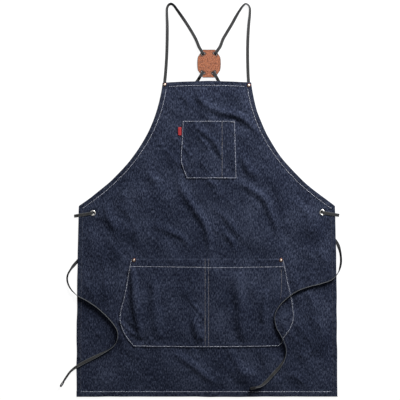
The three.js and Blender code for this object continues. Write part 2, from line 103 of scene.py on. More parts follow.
def through(points: Sequence[Sequence[float]], steps: int) -> Array:
    """Runs a smooth curve through a few points.

    Args:
        points: The points, as rows of coordinates.
        steps: How many steps each span gets.

    Returns:
        The curve's points, with the given ones among them. It is a centripetal curve, so it makes
        no loops where the points are close together.
    """
    given = np.array(points, float)
    ends = np.vstack([2 * given[0] - given[1], given, 2 * given[-1] - given[-2]])
    rows = []
    for k in range(len(given) - 1):
        p0, p1, p2, p3 = ends[k : k + 4]
        d1 = math.sqrt(np.linalg.norm(p2 - p1)) or 1.0
        d0 = math.sqrt(np.linalg.norm(p1 - p0)) or d1
        d2 = math.sqrt(np.linalg.norm(p3 - p2)) or d1
        leave = d1 * ((p1 - p0) / d0 - (p2 - p0) / (d0 + d1) + (p2 - p1) / d1)
        reach = d1 * ((p2 - p1) / d1 - (p3 - p1) / (d1 + d2) + (p3 - p2) / d2)
        t = np.linspace(0, 1, steps, endpoint=False)[:, None]
        rows.append(
            p1 * (1 + 2 * t) * (1 - t) ** 2 + leave * t * (1 - t) ** 2
            + p2 * t * t * (3 - 2 * t) + reach * t * t * (t - 1)
        )
    return np.vstack([*rows, given[-1:]])


def length_along(line: Array) -> Array:
    """How far along a line each of its points is."""
    return np.concatenate([[0.0], np.cumsum(np.linalg.norm(np.diff(line, axis=0), axis=1))])


def headings(line: Array) -> Array:
    """The unit direction of a line at each of its points."""
    way = np.gradient(line, axis=0)
    return way / np.linalg.norm(way, axis=1)[:, None]


def left_of(line: Array) -> Array:
    """The unit direction to the left of a flat line at each of its points."""
    way = headings(line)
    return np.stack([-way[:, 1], way[:, 0]], axis=1)


def evenly(line: Array, pitch: float) -> Array:
    """The line again, with points a pitch apart."""
    along = length_along(line)
    at = np.arange(0.0, along[-1], pitch)
    return np.stack([np.interp(at, along, line[:, k]) for k in range(line.shape[1])], axis=1)


def nearest(x: Array, y: Array, line: Array) -> tuple[Array, Array, Array, Array]:
    """Finds the nearest place on a line for many points.

    Args:
        x, y: The points.
        line: The line, as rows of x and y.

    Returns:
        The distance, the place's x and y, and how far along the line it is.
    """
    best = np.full(x.shape, np.inf)
    near_x, near_y, near_s = np.zeros(x.shape), np.zeros(x.shape), np.zeros(x.shape)
    along = length_along(line)
    for k in range(len(line) - 1):
        a, b = line[k], line[k + 1]
        run = max(float((b - a) @ (b - a)), 1e-12)
        t = np.clip(((x - a[0]) * (b[0] - a[0]) + (y - a[1]) * (b[1] - a[1])) / run, 0, 1)
        px, py = a[0] + t * (b[0] - a[0]), a[1] + t * (b[1] - a[1])
        gap = np.hypot(x - px, y - py)
        closer = gap < best
        best = np.where(closer, gap, best)
        near_x, near_y = np.where(closer, px, near_x), np.where(closer, py, near_y)
        near_s = np.where(closer, along[k] + t * math.sqrt(run), near_s)
    return best, near_x, near_y, near_s


def beside(line: Array, distance: float) -> Array:
    """The line moved to its left by a distance."""
    return line + distance * left_of(line)


# ---------------------------------------------------------------- how the cloth lies


class Swell:
    """Smooth seeded unevenness over the floor plane, from -1 to 1."""

    SIZE = 97

    def __init__(self, wide: float, long: float, seed: int, turn: float = 0.0) -> None:
        """Keeps the size of one swell both ways and its turn in degrees, and draws its values."""
        self.cell = (wide, long)
        self.turn = (math.cos(math.radians(turn)), math.sin(math.radians(turn)))
        self.values = np.random.default_rng(seed).uniform(-1, 1, (self.SIZE, self.SIZE))

    def at(self, x: Array, y: Array) -> Array:
        """The unevenness at many points."""
        across, along = x * self.turn[0] + y * self.turn[1], y * self.turn[0] - x * self.turn[1]
        u, v = across / self.cell[0] + 31.37, along / self.cell[1] + 47.71
        i, j = np.floor(u).astype(int), np.floor(v).astype(int)
        f, g = smoothstep(0, 1, u - i), smoothstep(0, 1, v - j)
        low = self._value(i, j) * (1 - f) + self._value(i + 1, j) * f
        high = self._value(i, j + 1) * (1 - f) + self._value(i + 1, j + 1) * f
        return low * (1 - g) + high * g

    def _value(self, i: Array, j: Array) -> Array:
        """The drawn values at lattice points."""
        return self.values[i % self.SIZE, j % self.SIZE]


FOLD_STRENGTH = 3.2
FOLD_NARROW = 0.72


@dataclass(frozen=True)
class Fold:
    """A soft crease: a low ridge beside a line, on the side that faces the key light."""

    line: tuple[Point, ...]
    height: float
    width: float

    TOWARDS_LIGHT = (0.62, 0.78)

    def at(self, x: Array, y: Array) -> Array:
        """How much the crease lifts the cloth at many points."""
        line = through(self.line, 6)
        gap, near_x, near_y, along = nearest(x, y, line)
        facing = (x - near_x) * self.TOWARDS_LIGHT[0] + (y - near_y) * self.TOWARDS_LIGHT[1]
        width = FOLD_NARROW * self.width
        across = (np.copysign(gap, facing) - width) / width
        whole = length_along(line)[-1]
        taper = np.sin(np.pi * np.clip(along / whole, 0, 1)) ** 0.6
        return FOLD_STRENGTH * self.height * taper * np.exp(-(across**2) / 2)


BODY_FOLDS = (
    Fold(((-36, 278), (-5, 247), (35, 229), (75, 220), (111, 200), (142, 165), (164, 125)), 3.0, 9),
    Fold(((-41, 196), (-1, 165), (22, 142), (35, 107)), 2.0, 8),
    Fold(((75, 45), (120, 19), (146, 0), (160, -31), (177, -71), (186, -107)), 2.6, 9),
    Fold(((-85, 53), (-63, 9), (-36, -31), (-10, -71), (-1, -116), (-1, -151)), 2.6, 9),
    Fold(((30, -71), (48, -98), (66, -120), (68, -147)), 1.8, 7),
    Fold(((-143, -71), (-103, -89), (-67, -107), (-50, -134)), 1.7, 8),
    Fold(((-228, 45), (-232, 0)), 1.5, 8),
    Fold(((-279, -5), (-268, -49), (-245, -85)), 1.8, 9),
    Fold(((-161, 65), (-130, 40)), 1.4, 7),
    Fold(((-5, 49), (26, 31)), 1.3, 7),
    Fold(((84, 118), (96, 92), (110, 70), (137, 58)), 2.2, 10),
    Fold(((-94, -412), (-50, -439), (-5, -475), (31, -501)), 2.4, 9),
    Fold(((53, -400), (75, -440), (93, -467), (133, -467)), 1.8, 9),
    Fold(((257, -245), (275, -275), (275, -307)), 1.7, 9),
    Fold(((289, -134), (315, -178)), 1.4, 8),
    Fold(((-205, -176), (-199, -254), (-188, -329), (-182, -372)), 5.0, 8),
    Fold(((-148, -196), (-150, -262), (-144, -330), (-132, -374)), 3.0, 12),
    Fold(((-41, -316), (-27, -374)), 2.2, 8),
    Fold(((72, -190), (78, -262), (84, -340), (92, -380)), 2.8, 12),
    Fold(((152, -236), (146, -292), (142, -332)), 2.5, 8),
)


@dataclass
class EdgeLine:
    """A cloth edge given as x over y, which runs on straight past its two ends."""

    points: Array

    def __post_init__(self) -> None:
        """Sorts the points by y."""
        self.points = self.points[np.argsort(self.points[:, 1])]

    def at(self, y: Array) -> tuple[Array, Array]:
        """The edge's x at many heights, and how fast x changes with y there."""
        px, py = self.points[:, 0], self.points[:, 1]
        slopes = np.gradient(px, py)
        x, slope = np.interp(y, py, px), np.interp(y, py, slopes)
        x = np.where(y < py[0], px[0] + (y - py[0]) * slopes[0], x)
        return np.where(y > py[-1], px[-1] + (y - py[-1]) * slopes[-1], x), slope


@dataclass
class Cut:
    """The outline that a sheet of cloth is cut to: side edges, a lower edge and an upper one."""

    left: list[EdgeLine]
    right: list[EdgeLine]
    low: float
    high: float
    low_bow: float = 0.0
    high_bow: float = 0.0
    bow_fade: float = 60.0

    def side(self, lines: list[EdgeLine], y: Array, inward: Array, sign: int) -> Array:
        """The x of the line that runs a distance inside the left (sign 1) or right (sign -1) edge."""
        options = []
        for line in lines:
            x, slope = line.at(y)
            options.append(x + sign * inward * np.sqrt(1 + slope**2))
        return np.max(options, axis=0) if sign > 0 else np.min(options, axis=0)

    def bow(self, x: Array, y: Array) -> Array:
        """How far the lower and upper edges bow out at a place."""
        half_low = self.side(self.right, np.array([self.low]), 0.0, -1)[0]
        half_high = self.side(self.right, np.array([self.high]), 0.0, -1)[0]
        up = self.high_bow * (1 - (x / half_high) ** 2) * smoothstep(-self.bow_fade, 0, y - self.high)
        down = self.low_bow * (1 - (x / half_low) ** 2) * smoothstep(self.bow_fade, 0, y - self.low)
        return np.maximum(up, 0) - np.maximum(down, 0)

    def outline(self, inward: float = 0.0) -> dict[str, Array]:
        """The four edges, or lines inside them, as rows of x and y."""
        y = np.linspace(self.low + inward, self.high - inward, 90)
        left = self.side(self.left, y, inward, 1)
        right = self.side(self.right, y, inward, -1)
        f = np.linspace(0, 1, 24)
        lines = {
            "left": np.stack([left, y], axis=1),
            "right": np.stack([right, y], axis=1),
            "low": np.stack([left[0] + f * (right[0] - left[0]), np.full(24, y[0])], axis=1),
            "high": np.stack([left[-1] + f * (right[-1] - left[-1]), np.full(24, y[-1])], axis=1),
        }
        for line in lines.values():
            line[:, 1] += self.bow(line[:, 0], line[:, 1])
        return lines

    def edge_distance(self, x: Array, y: Array) -> Array:
        """How far many points are from the nearest edge."""
        return np.min([nearest(x, y, line)[0] for line in self.outline().values()], axis=0)

    def holds(self, x: Array, y: Array) -> Array:
        """Which points are inside the cut."""
        flat = y - self.bow(x, y)
        inside = (flat > self.low) & (flat < self.high)
        inside &= x > self.side(self.left, flat, 0.0, 1)
        return inside & (x < self.side(self.right, flat, 0.0, -1))


def bezier(*points: Point, steps: int = 60) -> Array:
    """The points of a Bezier curve of any degree."""
    t = np.linspace(0, 1, steps)[:, None]
    degree = len(points) - 1
    return sum(
        math.comb(degree, k) * (1 - t) ** (degree - k) * t**k * np.array(p, float)
        for k, p in enumerate(points)
    )


def mirrored(line: Array) -> Array:
    """The line on the other side of the apron."""
    return line * np.array([-1.0, 1.0])


ARMHOLE = bezier((118.5, 313), (135.4, 144.8), (258, 39.6), (341.5, -14.7))
SIDE = bezier((341.5, -14.7), (347, -150), (348, -525))
PANEL = Cut(
    left=[EdgeLine(mirrored(ARMHOLE)), EdgeLine(mirrored(SIDE))],
    right=[EdgeLine(ARMHOLE), EdgeLine(SIDE)],
    low=-525, high=313, high_bow=4.75,
)
BIB_POCKET = Cut(
    left=[EdgeLine(through([(-65.4, 213), (-68, 160), (-70.5, 106), (-66, 87), (-54.2, 56.5)], 8))],
    right=[EdgeLine(through([(75.8, 213), (77.4, 150), (79.8, 56.5)], 8))],
    low=56.5, high=213,
)
WAIST_LEFT = [
    (-203.7, -157), (-208, -179), (-221, -252), (-234, -308), (-230.5, -336), (-215, -367), (-196, -391),
]
WAIST_RIGHT = [
    (205.3, -157), (218, -220), (229, -270), (232.5, -315),
    (226, -338), (208, -366), (200, -384), (190, -391),
]
WAIST_POCKET = Cut(
    left=[EdgeLine(through(WAIST_LEFT, 8))], right=[EdgeLine(through(WAIST_RIGHT, 8))],
    low=-391, high=-157, low_bow=2.5, bow_fade=30,
)


class Ground:
    """How high the lying cloth is at any place, layer by layer."""

    LOFTIEST = 12.0
    LEAST_LIFT = 1.25
    KNEE = 2.2
    SEAT_REACH = (22.0, 9.5)

    def __init__(self) -> None:
        """Draws the swells and reads where the metal sits."""
        self.swells = (
            (2.2, Swell(120, 105, 11)), (2.5, Swell(38, 92, 12, 38)),
            (1.7, Swell(22, 50, 13, 20)), (0.8, Swell(14, 21, 16, -25)), (0.25, Swell(8, 11, 14)),
        )
        self.creases = (
            (3.4, Swell(44, 115, 17, 42), Swell(90, 90, 18)),
            (2.8, Swell(36, 105, 19, 4), Swell(100, 80, 20)),
            (2.3, Swell(40, 88, 22, -48), Swell(85, 95, 23)),
        )
        self.billow = Swell(27, 110, 29, 6)
        self.seats = [middle_of(f"bib_rivet_{s}")[:2] for s in ("left", "right")]
        self.seats += [middle_of(f"eyelet_{s}")[:2] for s in ("left", "right")]
        self.pocket_seats = [middle_of(f"pocket_rivet_{s}")[:2] for s in ("left", "right")]

    def relief(self, x: Array, y: Array) -> Array:
        """Folds and swells together, never below zero."""
        lift = sum(size * swell.at(x, y) for size, swell in self.swells) + self.LEAST_LIFT
        for size, swell, where in self.creases:
            lift = lift + size * (1 - np.abs(swell.at(x, y))) ** 5 * smoothstep(-0.15, 0.6, where.at(x, y))
        for fold in BODY_FOLDS:
            lift = lift + fold.at(x, y)
        raised = np.log1p(np.exp(np.clip(lift * self.KNEE, -30, 30))) / self.KNEE
        return self.LOFTIEST * np.tanh(raised / self.LOFTIEST)

    def near_seats(self, seats: Iterable[Array], x: Array, y: Array) -> Array:
        """1 at the metal fastenings and 0 some way off."""
        total = np.zeros(np.shape(x))
        for seat in seats:
            total = np.maximum(total, smoothstep(*self.SEAT_REACH, np.hypot(x - seat[0], y - seat[1])))
        return total

    def panel(self, x: Array, y: Array, edge: Optional[Array] = None) -> Array:
        """The top of the panel."""
        edge = PANEL.edge_distance(x, y) if edge is None else edge
        hem = smoothstep(HEM_WIDE + 1.6, HEM_WIDE - 0.6, edge)
        calm = smoothstep(2, 48, edge) * 0.94 + 0.06
        top = PANEL_TOP + HEM_RISE * hem + self.relief(x, y) * calm
        top -= 0.32 * np.exp(-(((edge - STITCH_IN_HEM) / 0.9) ** 2))
        seat = self.near_seats(self.seats, x, y)
        return top * (1 - seat) + (PANEL_TOP + HEM_RISE) * seat

    def pocket(self, cut: Cut, x: Array, y: Array, edge: Optional[Array] = None) -> Array:
        """The top of a pocket's front."""
        edge = cut.edge_distance(x, y) if edge is None else edge
        slack = smoothstep(3, 45, edge)
        over = POCKET_OVER_PANEL - 0.35 * smoothstep(7, 12, edge) + slack * (1.9 + 1.3 * self.billow.at(x, y))
        over -= 0.3 * np.exp(-(((edge - 2.9) / 0.8) ** 2))
        if cut is WAIST_POCKET:
            for seam in CENTRE_SEAMS:
                over = over - 1.1 * np.exp(-(((x - seam) / 2.4) ** 2))
            over = over - 0.3 * np.exp(-(((y - (cut.high - WAIST_MOUTH_HEM)) / 1.2) ** 2))
            seat = self.near_seats(self.pocket_seats, x, y)
            level = np.full(np.shape(x), POCKET_SEAT)
        else:
            over = over - 0.5 * np.exp(-(((x - PEN_SLOT) / 1.6) ** 2))
            seat, level = np.zeros(np.shape(x)), 0.0
        return (self.panel(x, y) + over) * (1 - seat) + level * seat

    def top(self, x: Array, y: Array) -> Array:
        """The top of whatever is uppermost: the floor, the panel or a pocket."""
        height = np.where(PANEL.holds(x, y), self.panel(x, y), 0.0)
        for cut in (BIB_POCKET, WAIST_POCKET):
            height = np.where(cut.holds(x, y), self.pocket(cut, x, y), height)
        return height


GROUND = Ground()


# ---------------------------------------------------------------- node groups


class Shader:
    """A node tree with short calls for adding nodes and joining them."""

    def __init__(self, tree: bpy.types.NodeTree) -> None:
        """Takes the tree to add nodes to."""
        self.tree = tree

    def node(self, kind: str, inputs: Optional[dict] = None, **settings: object) -> bpy.types.Node:
        """Adds a node.

        Args:
            kind: The node's type.
            inputs: Values or sockets for the node's inputs, by name or number.
            settings: The node's own properties.

        Returns:
            The new node.
        """
        made = self.tree.nodes.new(kind)
        for name, value in settings.items():
            setattr(made, name, value)
        for key, value in (inputs or {}).items():
            if isinstance(value, bpy.types.NodeSocket):
                self.tree.links.new(value, made.inputs[key])
            else:
                made.inputs[key].default_value = value
        return made

    def group(self, tree: bpy.types.NodeTree, **inputs: object) -> bpy.types.NodeSocket:
        """The first output of a group node, given values or sockets for its inputs."""
        return self.node("ShaderNodeGroup", inputs, node_tree=tree).outputs[0]

    def maths(self, operation: str, first: object, second: object = 0.0) -> bpy.types.NodeSocket:
        """A Math node's result."""
        return self.node("ShaderNodeMath", {0: first, 1: second}, operation=operation).outputs[0]

    def ramp(self, value: object, low: float, high: float, start: float = 0.0, end: float = 1.0) -> object:
        """A smooth remap of a value from low..high to start..end."""
        inputs = {"Value": value, "From Min": low, "From Max": high, "To Min": start, "To Max": end}
        return self.node("ShaderNodeMapRange", inputs, interpolation_type="SMOOTHSTEP").outputs["Result"]

    def blend(self, share: object, first: object, second: object, mode: str = "MIX") -> object:
        """A mix of two colours."""
        made = self.node("ShaderNodeMix", None, data_type="RGBA", blend_type=mode)
        for key, value in ((0, share), (6, first), (7, second)):
            if isinstance(value, bpy.types.NodeSocket):
                self.tree.links.new(value, made.inputs[key])
            else:
                made.inputs[key].default_value = value
        return made.outputs[2]


def new_group(name: str, inputs: dict[str, tuple[str, object]], outputs: dict[str, str]) -> Shader:
    """Starts a shader node group.

    Args:
        name: The group's name.
        inputs: Each input's socket type and default value.
        outputs: Each output's socket type.

    Returns:
        The group's tree in a Shader, with its input and output nodes in it.
    """
    tree = bpy.data.node_groups.new(name, "ShaderNodeTree")
    for key, (kind, value) in inputs.items():
        socket = tree.interface.new_socket(key, in_out="INPUT", socket_type=kind)
        if value is not None:
            socket.default_value = value
    for key, kind in outputs.items():
        tree.interface.new_socket(key, in_out="OUTPUT", socket_type=kind)
    tree.nodes.new("NodeGroupInput")
    tree.nodes.new("NodeGroupOutput")
    return Shader(tree)


FLOAT, VECTOR = "NodeSocketFloat", "NodeSocketVector"


def group_ends(shader: Shader) -> tuple[bpy.types.Node, bpy.types.Node]:
    """A group's input and output nodes."""
    nodes = shader.tree.nodes
    return nodes["Group Input"], nodes["Group Output"]


def make_streaks() -> bpy.types.NodeTree:
    """Uneven yarn: long soft streaks one way, with their width, length and contrast as inputs."""
    shader = new_group(
        "yarn_streaks",
        {
            "Vector": (VECTOR, None), "Width": (FLOAT, 0.001),
            "Length": (FLOAT, 0.01), "Contrast": (FLOAT, 0.2),
        },
        {"Value": FLOAT},
    )
    start, end = group_ends(shader)
    parts = shader.node("ShaderNodeSeparateXYZ", {0: start.outputs["Vector"]})
    x = shader.maths("DIVIDE", parts.outputs["X"], start.outputs["Width"])
    y = shader.maths("DIVIDE", parts.outputs["Y"], start.outputs["Length"])
    place = shader.node("ShaderNodeCombineXYZ", {"X": x, "Y": y})
    noise = shader.node(
        "ShaderNodeTexNoise",
        {"Vector": place.outputs[0], "Scale": 1.0, "Detail": 2.5, "Roughness": 0.62},
    )
    low = shader.maths("SUBTRACT", 0.5, start.outputs["Contrast"])
    high = shader.maths("ADD", 0.5, start.outputs["Contrast"])
    inputs = {"Value": noise.outputs[0], "From Min": low, "From Max": high}
    value = shader.node("ShaderNodeMapRange", inputs).outputs["Result"]
    shader.tree.links.new(value, end.inputs["Value"])
    return shader.tree


def make_ribs() -> bpy.types.NodeTree:
    """Rows of weave: a wave of a given period along a given direction, from 0 to 1."""
    shader = new_group(
        "weave_ribs",
        {"Vector": (VECTOR, None), "Direction": (VECTOR, (1, 0, 0)), "Period": (FLOAT, 0.001)},
        {"Value": FLOAT},
    )
    start, end = group_ends(shader)
    both = {0: start.outputs["Vector"], 1: start.outputs["Direction"]}
    dot = shader.node("ShaderNodeVectorMath", both, operation="DOT_PRODUCT")
    turns = shader.maths("DIVIDE", dot.outputs["Value"], start.outputs["Period"])
    wave = shader.maths("SINE", shader.maths("MULTIPLY", turns, 2 * math.pi))
    value = shader.maths("MULTIPLY_ADD", wave, 0.5)
    value.node.inputs[2].default_value = 0.5
    shader.tree.links.new(value, end.inputs["Value"])
    return shader.tree


def make_wear() -> bpy.types.NodeTree:
    """Rubbed edges: 1 on an edge, broken up by noise, and 0 further in than a given reach."""
    shader = new_group(
        "edge_rub",
        {"Vector": (VECTOR, None), "Distance": (FLOAT, 0.0), "Reach": (FLOAT, 1.5), "Grain": (FLOAT, 0.004)},
        {"Mask": FLOAT},
    )
    start, end = group_ends(shader)
    share = shader.maths("DIVIDE", start.outputs["Distance"], start.outputs["Reach"])
    near = shader.ramp(share, 0.0, 1.0, 1.0, 0.0)
    size = shader.maths("DIVIDE", 1.0, start.outputs["Grain"])
    inputs = {"Vector": start.outputs["Vector"], "Scale": size, "Detail": 3.0}
    noise = shader.node("ShaderNodeTexNoise", inputs)
    mask = shader.maths("MULTIPLY", near, shader.ramp(noise.outputs[0], 0.35, 0.68))
    shader.tree.links.new(mask, end.inputs["Mask"])
    return shader.tree


class Weave(Enum):
    """How a narrow tape is woven."""

    HERRINGBONE = "herringbone"
    PLAIN = "plain"


@dataclass(frozen=True)
class Surface:
    """What every finish has: a name, a roughness and how much it mirrors."""

    name: str
    roughness: float = 0.9
    specular: float = 0.06

    def start(self) -> tuple[bpy.types.Material, Shader, bpy.types.Node]:
        """A new material, its nodes and its Principled node, with the plain values set."""
        material = bpy.data.materials.new(self.name)
        material.use_nodes = True
        shader = Shader(material.node_tree)
        skin = material.node_tree.nodes["Principled BSDF"]
        skin.inputs["Roughness"].default_value = self.roughness
        skin.inputs["Specular IOR Level"].default_value = self.specular
        return material, shader, skin

    @staticmethod
    def bump(shader: Shader, skin: bpy.types.Node, height: object, distance: float, strength: float) -> None:
        """Feeds a height in metres' worth of distance to the Principled node's normal."""
        inputs = {"Height": height, "Distance": distance, "Strength": strength}
        bump = shader.node("ShaderNodeBump", inputs)
        shader.tree.links.new(bump.outputs["Normal"], skin.inputs["Normal"])


@dataclass(frozen=True)
class DenimFinish(Surface):
    """Dry indigo denim: slubby warp, faint weft, twill lines and rubbed, roped hems."""

    deep: tuple[float, float, float] = (0.0030, 0.0042, 0.0095)
    plain: tuple[float, float, float] = (0.0100, 0.0134, 0.0270)
    pale: tuple[float, float, float] = (0.052, 0.062, 0.096)
    slub: float = 0.17
    roping: float = 0.33
    hem_shade: float = 0.38
    rubbed: float = 0.3

    def make(self, groups: dict[str, bpy.types.NodeTree]) -> bpy.types.Material:
        """Builds the material from the shared groups."""
        material, shader, skin = self.start()
        place = shader.node("ShaderNodeTexCoord").outputs["Object"]
        turned = shader.node("ShaderNodeMapping", {"Vector": place, "Rotation": (0, 0, math.pi / 2)})
        streaks = groups["streaks"]
        warp = shader.group(streaks, Vector=place, Width=0.0032, Length=0.0120, Contrast=self.slub)
        fine = shader.group(streaks, Vector=place, Width=0.0020, Length=0.0070, Contrast=self.slub)
        weft = shader.group(
            streaks, Vector=turned.outputs[0], Width=0.0022, Length=0.0052, Contrast=self.slub
        )
        cloud = shader.node("ShaderNodeTexNoise", {"Vector": place, "Scale": 12.0, "Detail": 1.5})
        twill = shader.group(groups["ribs"], Vector=place, Direction=(0.8, -0.6, 0), Period=0.0014)
        yarn = shader.maths("MULTIPLY", warp, 0.24)
        for part, share in ((fine, 0.42), (weft, 0.10), (cloud.outputs[0], 0.32), (twill, 0.05)):
            yarn = shader.maths("ADD", yarn, shader.maths("MULTIPLY", part, share))
        colour = shader.node("ShaderNodeValToRGB", {"Fac": yarn})
        steps = colour.color_ramp.elements
        steps[0].position, steps[1].position = 0.31, 0.87
        steps[0].color, steps[1].color = (*self.deep, 1), (*self.pale, 1)
        middle = steps.new(0.54)
        middle.color = (*self.plain, 1)

        edge = shader.node("ShaderNodeAttribute", None, attribute_name="edge").outputs["Fac"]
        hem = shader.ramp(edge, 10.5, 13.0, 1.0, 0.0)
        inputs = {"Vector": place, "Scale": 150.0, "Detail": 2.0, "Distortion": 0.6}
        roping = shader.node("ShaderNodeTexNoise", inputs)
        roped = shader.maths("MULTIPLY", hem, shader.ramp(roping.outputs[0], 0.42, 0.66))
        rub = shader.group(groups["wear"], Vector=place, Distance=edge, Reach=2.4, Grain=0.005)
        rubbed = shader.maths("MULTIPLY", rub, self.rubbed)
        worn = shader.maths("MAXIMUM", shader.maths("MULTIPLY", roped, self.roping), rubbed)
        darker = shader.maths("MULTIPLY", hem, self.hem_shade)
        shaded = shader.blend(darker, colour.outputs[0], (*self.deep, 1))
        faded = shader.blend(worn, shaded, (*self.pale, 1))
        shader.tree.links.new(faded, skin.inputs["Base Color"])
        height = shader.maths("ADD", yarn, shader.maths("MULTIPLY", twill, 0.35))
        height = shader.maths("ADD", height, shader.maths("MULTIPLY", roped, 1.1))
        self.bump(shader, skin, height, 0.00030, 0.7)
        rough = shader.ramp(yarn, 0.2, 0.9, self.roughness - 0.05, self.roughness + 0.05)
        shader.tree.links.new(rough, skin.inputs["Roughness"])
        return material


@dataclass(frozen=True)
class TapeFinish(Surface):
    """Narrow woven tape, in a herringbone or a plain weave, with a firmer selvedge; its pale edge colour is
    partly the real dotted selvedge and partly a painted highlight on the top face of a tape that stands on
    edge.
    """

    dark: tuple[float, float, float] = (0.010, 0.010, 0.0105)
    light: tuple[float, float, float] = (0.050, 0.050, 0.050)
    # edge colour: partly the real pale selvedge, partly painted highlight where a tape standing on edge shows
    # its top face
    edge: tuple[float, float, float] = (0.120, 0.130, 0.146)
    weave: Weave = Weave.HERRINGBONE
    half_wide: float = TAPE_WIDE * MM / 2
    period: float = 0.0016

    def make(self, groups: dict[str, bpy.types.NodeTree]) -> bpy.types.Material:
        """Builds the material from the shared groups; UV is metres along and metres across."""
        material, shader, skin = self.start()
        uv = shader.node("ShaderNodeUVMap", None, uv_map="length").outputs[0]
        parts = shader.node("ShaderNodeSeparateXYZ", {0: uv})
        across = shader.maths("ABSOLUTE", parts.outputs["Y"])
        folded = shader.node("ShaderNodeCombineXYZ", {"X": parts.outputs["X"], "Y": across}).outputs[0]
        slant = (0.75, 0.66, 0) if self.weave is Weave.HERRINGBONE else (1, 0, 0)
        ribs = shader.group(groups["ribs"], Vector=folded, Direction=slant, Period=self.period)
        turned = shader.node("ShaderNodeCombineXYZ", {"X": parts.outputs["Y"], "Y": parts.outputs["X"]})
        yarns = shader.group(
            groups["streaks"], Vector=turned.outputs[0], Width=0.0007, Length=0.009, Contrast=0.22
        )
        mixed = shader.maths("ADD", shader.maths("MULTIPLY", ribs, 0.5), shader.maths("MULTIPLY", yarns, 0.5))
        # the band along each side and round the narrow faces, which takes the pale edge colour: real selvedge
        # plus painted highlight
        selvedge_and_highlight_band = shader.ramp(across, self.half_wide * 0.72, self.half_wide * 0.98)
        woven = shader.blend(mixed, (*self.dark, 1), (*self.light, 1))
        dots = shader.group(
            groups["ribs"], Vector=parts.outputs["X"], Direction=(1, 0, 0), Period=2 * self.period
        )
        # painted highlight and dotted selvedge: the pale edge colour laid over that band
        bright = shader.maths("MULTIPLY", selvedge_and_highlight_band, shader.ramp(dots, 0.0, 1.0, 0.35, 1.0))
        colour = shader.blend(bright, woven, (*self.edge, 1))
        shader.tree.links.new(colour, skin.inputs["Base Color"])
        self.bump(shader, skin, shader.maths("ADD", mixed, selvedge_and_highlight_band), 0.0003, 0.7)
        return material


@dataclass(frozen=True)
class ThreadFinish(Surface):
    """Plied sewing thread, a little uneven in colour."""

    colour: tuple[float, float, float] = (0.55, 0.57, 0.64)
    shade: tuple[float, float, float] = (0.24, 0.25, 0.30)

    def make(self, groups: dict[str, bpy.types.NodeTree]) -> bpy.types.Material:
        """Builds the material from the shared groups."""
        material, shader, skin = self.start()
        place = shader.node("ShaderNodeTexCoord").outputs["Object"]
        soil = shader.node("ShaderNodeTexNoise", {"Vector": place, "Scale": 210.0, "Detail": 2.0})
        ply = shader.group(groups["ribs"], Vector=place, Direction=(0.7, 0.7, 0.3), Period=0.0008)
        share = shader.ramp(soil.outputs[0], 0.35, 0.62)
        uneven = shader.blend(share, (*self.shade, 1), (*self.colour, 1))
        shader.tree.links.new(uneven, skin.inputs["Base Color"])
        self.bump(shader, skin, ply, 0.0001, 0.6)
        return material


@dataclass(frozen=True)
class LeatherFinish(Surface):
    """Tan leather with a fine grain, cloudy dye, and dark burnished edges, which round the keeper's slots
    also paint the shade in the slots.
    """

    tan: tuple[float, float, float] = (0.095, 0.024, 0.009)
    pale: tuple[float, float, float] = (0.310, 0.102, 0.043)
    burnt: tuple[float, float, float] = (0.040, 0.016, 0.009)

    def make(self, groups: dict[str, bpy.types.NodeTree]) -> bpy.types.Material:
        """Builds the material from the shared groups."""
        material, shader, skin = self.start()
        place = shader.node("ShaderNodeTexCoord").outputs["Object"]
        dye = {"Vector": place, "Scale": 310.0, "Detail": 3.0, "Roughness": 0.7}
        cloud = shader.node("ShaderNodeTexNoise", dye)
        cells = {"Vector": place, "Scale": 900.0}
        grain = shader.node("ShaderNodeTexVoronoi", cells, feature="DISTANCE_TO_EDGE")
        pores = shader.node("ShaderNodeTexNoise", {"Vector": place, "Scale": 1900.0, "Detail": 1.0})
        dyed = shader.blend(shader.ramp(cloud.outputs[0], 0.30, 0.68), (*self.tan, 1), (*self.pale, 1))
        edge = shader.node("ShaderNodeAttribute", None, attribute_name="edge").outputs["Fac"]
        rub = shader.group(groups["wear"], Vector=place, Distance=edge, Reach=3.2, Grain=0.006)
        # dark burnished cut edges; round the keeper's slots this band is widened and also paints the shade in
        # the slots
        cut = shader.ramp(edge, 0.5, 2.1, 1.0, 0.0)
        dark = shader.maths("MAXIMUM", cut, shader.maths("MULTIPLY", rub, 0.45))
        shader.tree.links.new(shader.blend(dark, dyed, (*self.burnt, 1)), skin.inputs["Base Color"])
        pits = shader.maths("MULTIPLY", pores.outputs[0], 0.5)
        height = shader.maths("ADD", shader.ramp(grain.outputs[0], 0.0, 0.16), pits)
        self.bump(shader, skin, height, 0.00012, 0.8)
        rough = shader.ramp(cloud.outputs[0], 0.3, 0.7, self.roughness - 0.08, self.roughness + 0.1)
        shader.tree.links.new(rough, skin.inputs["Roughness"])
        return material


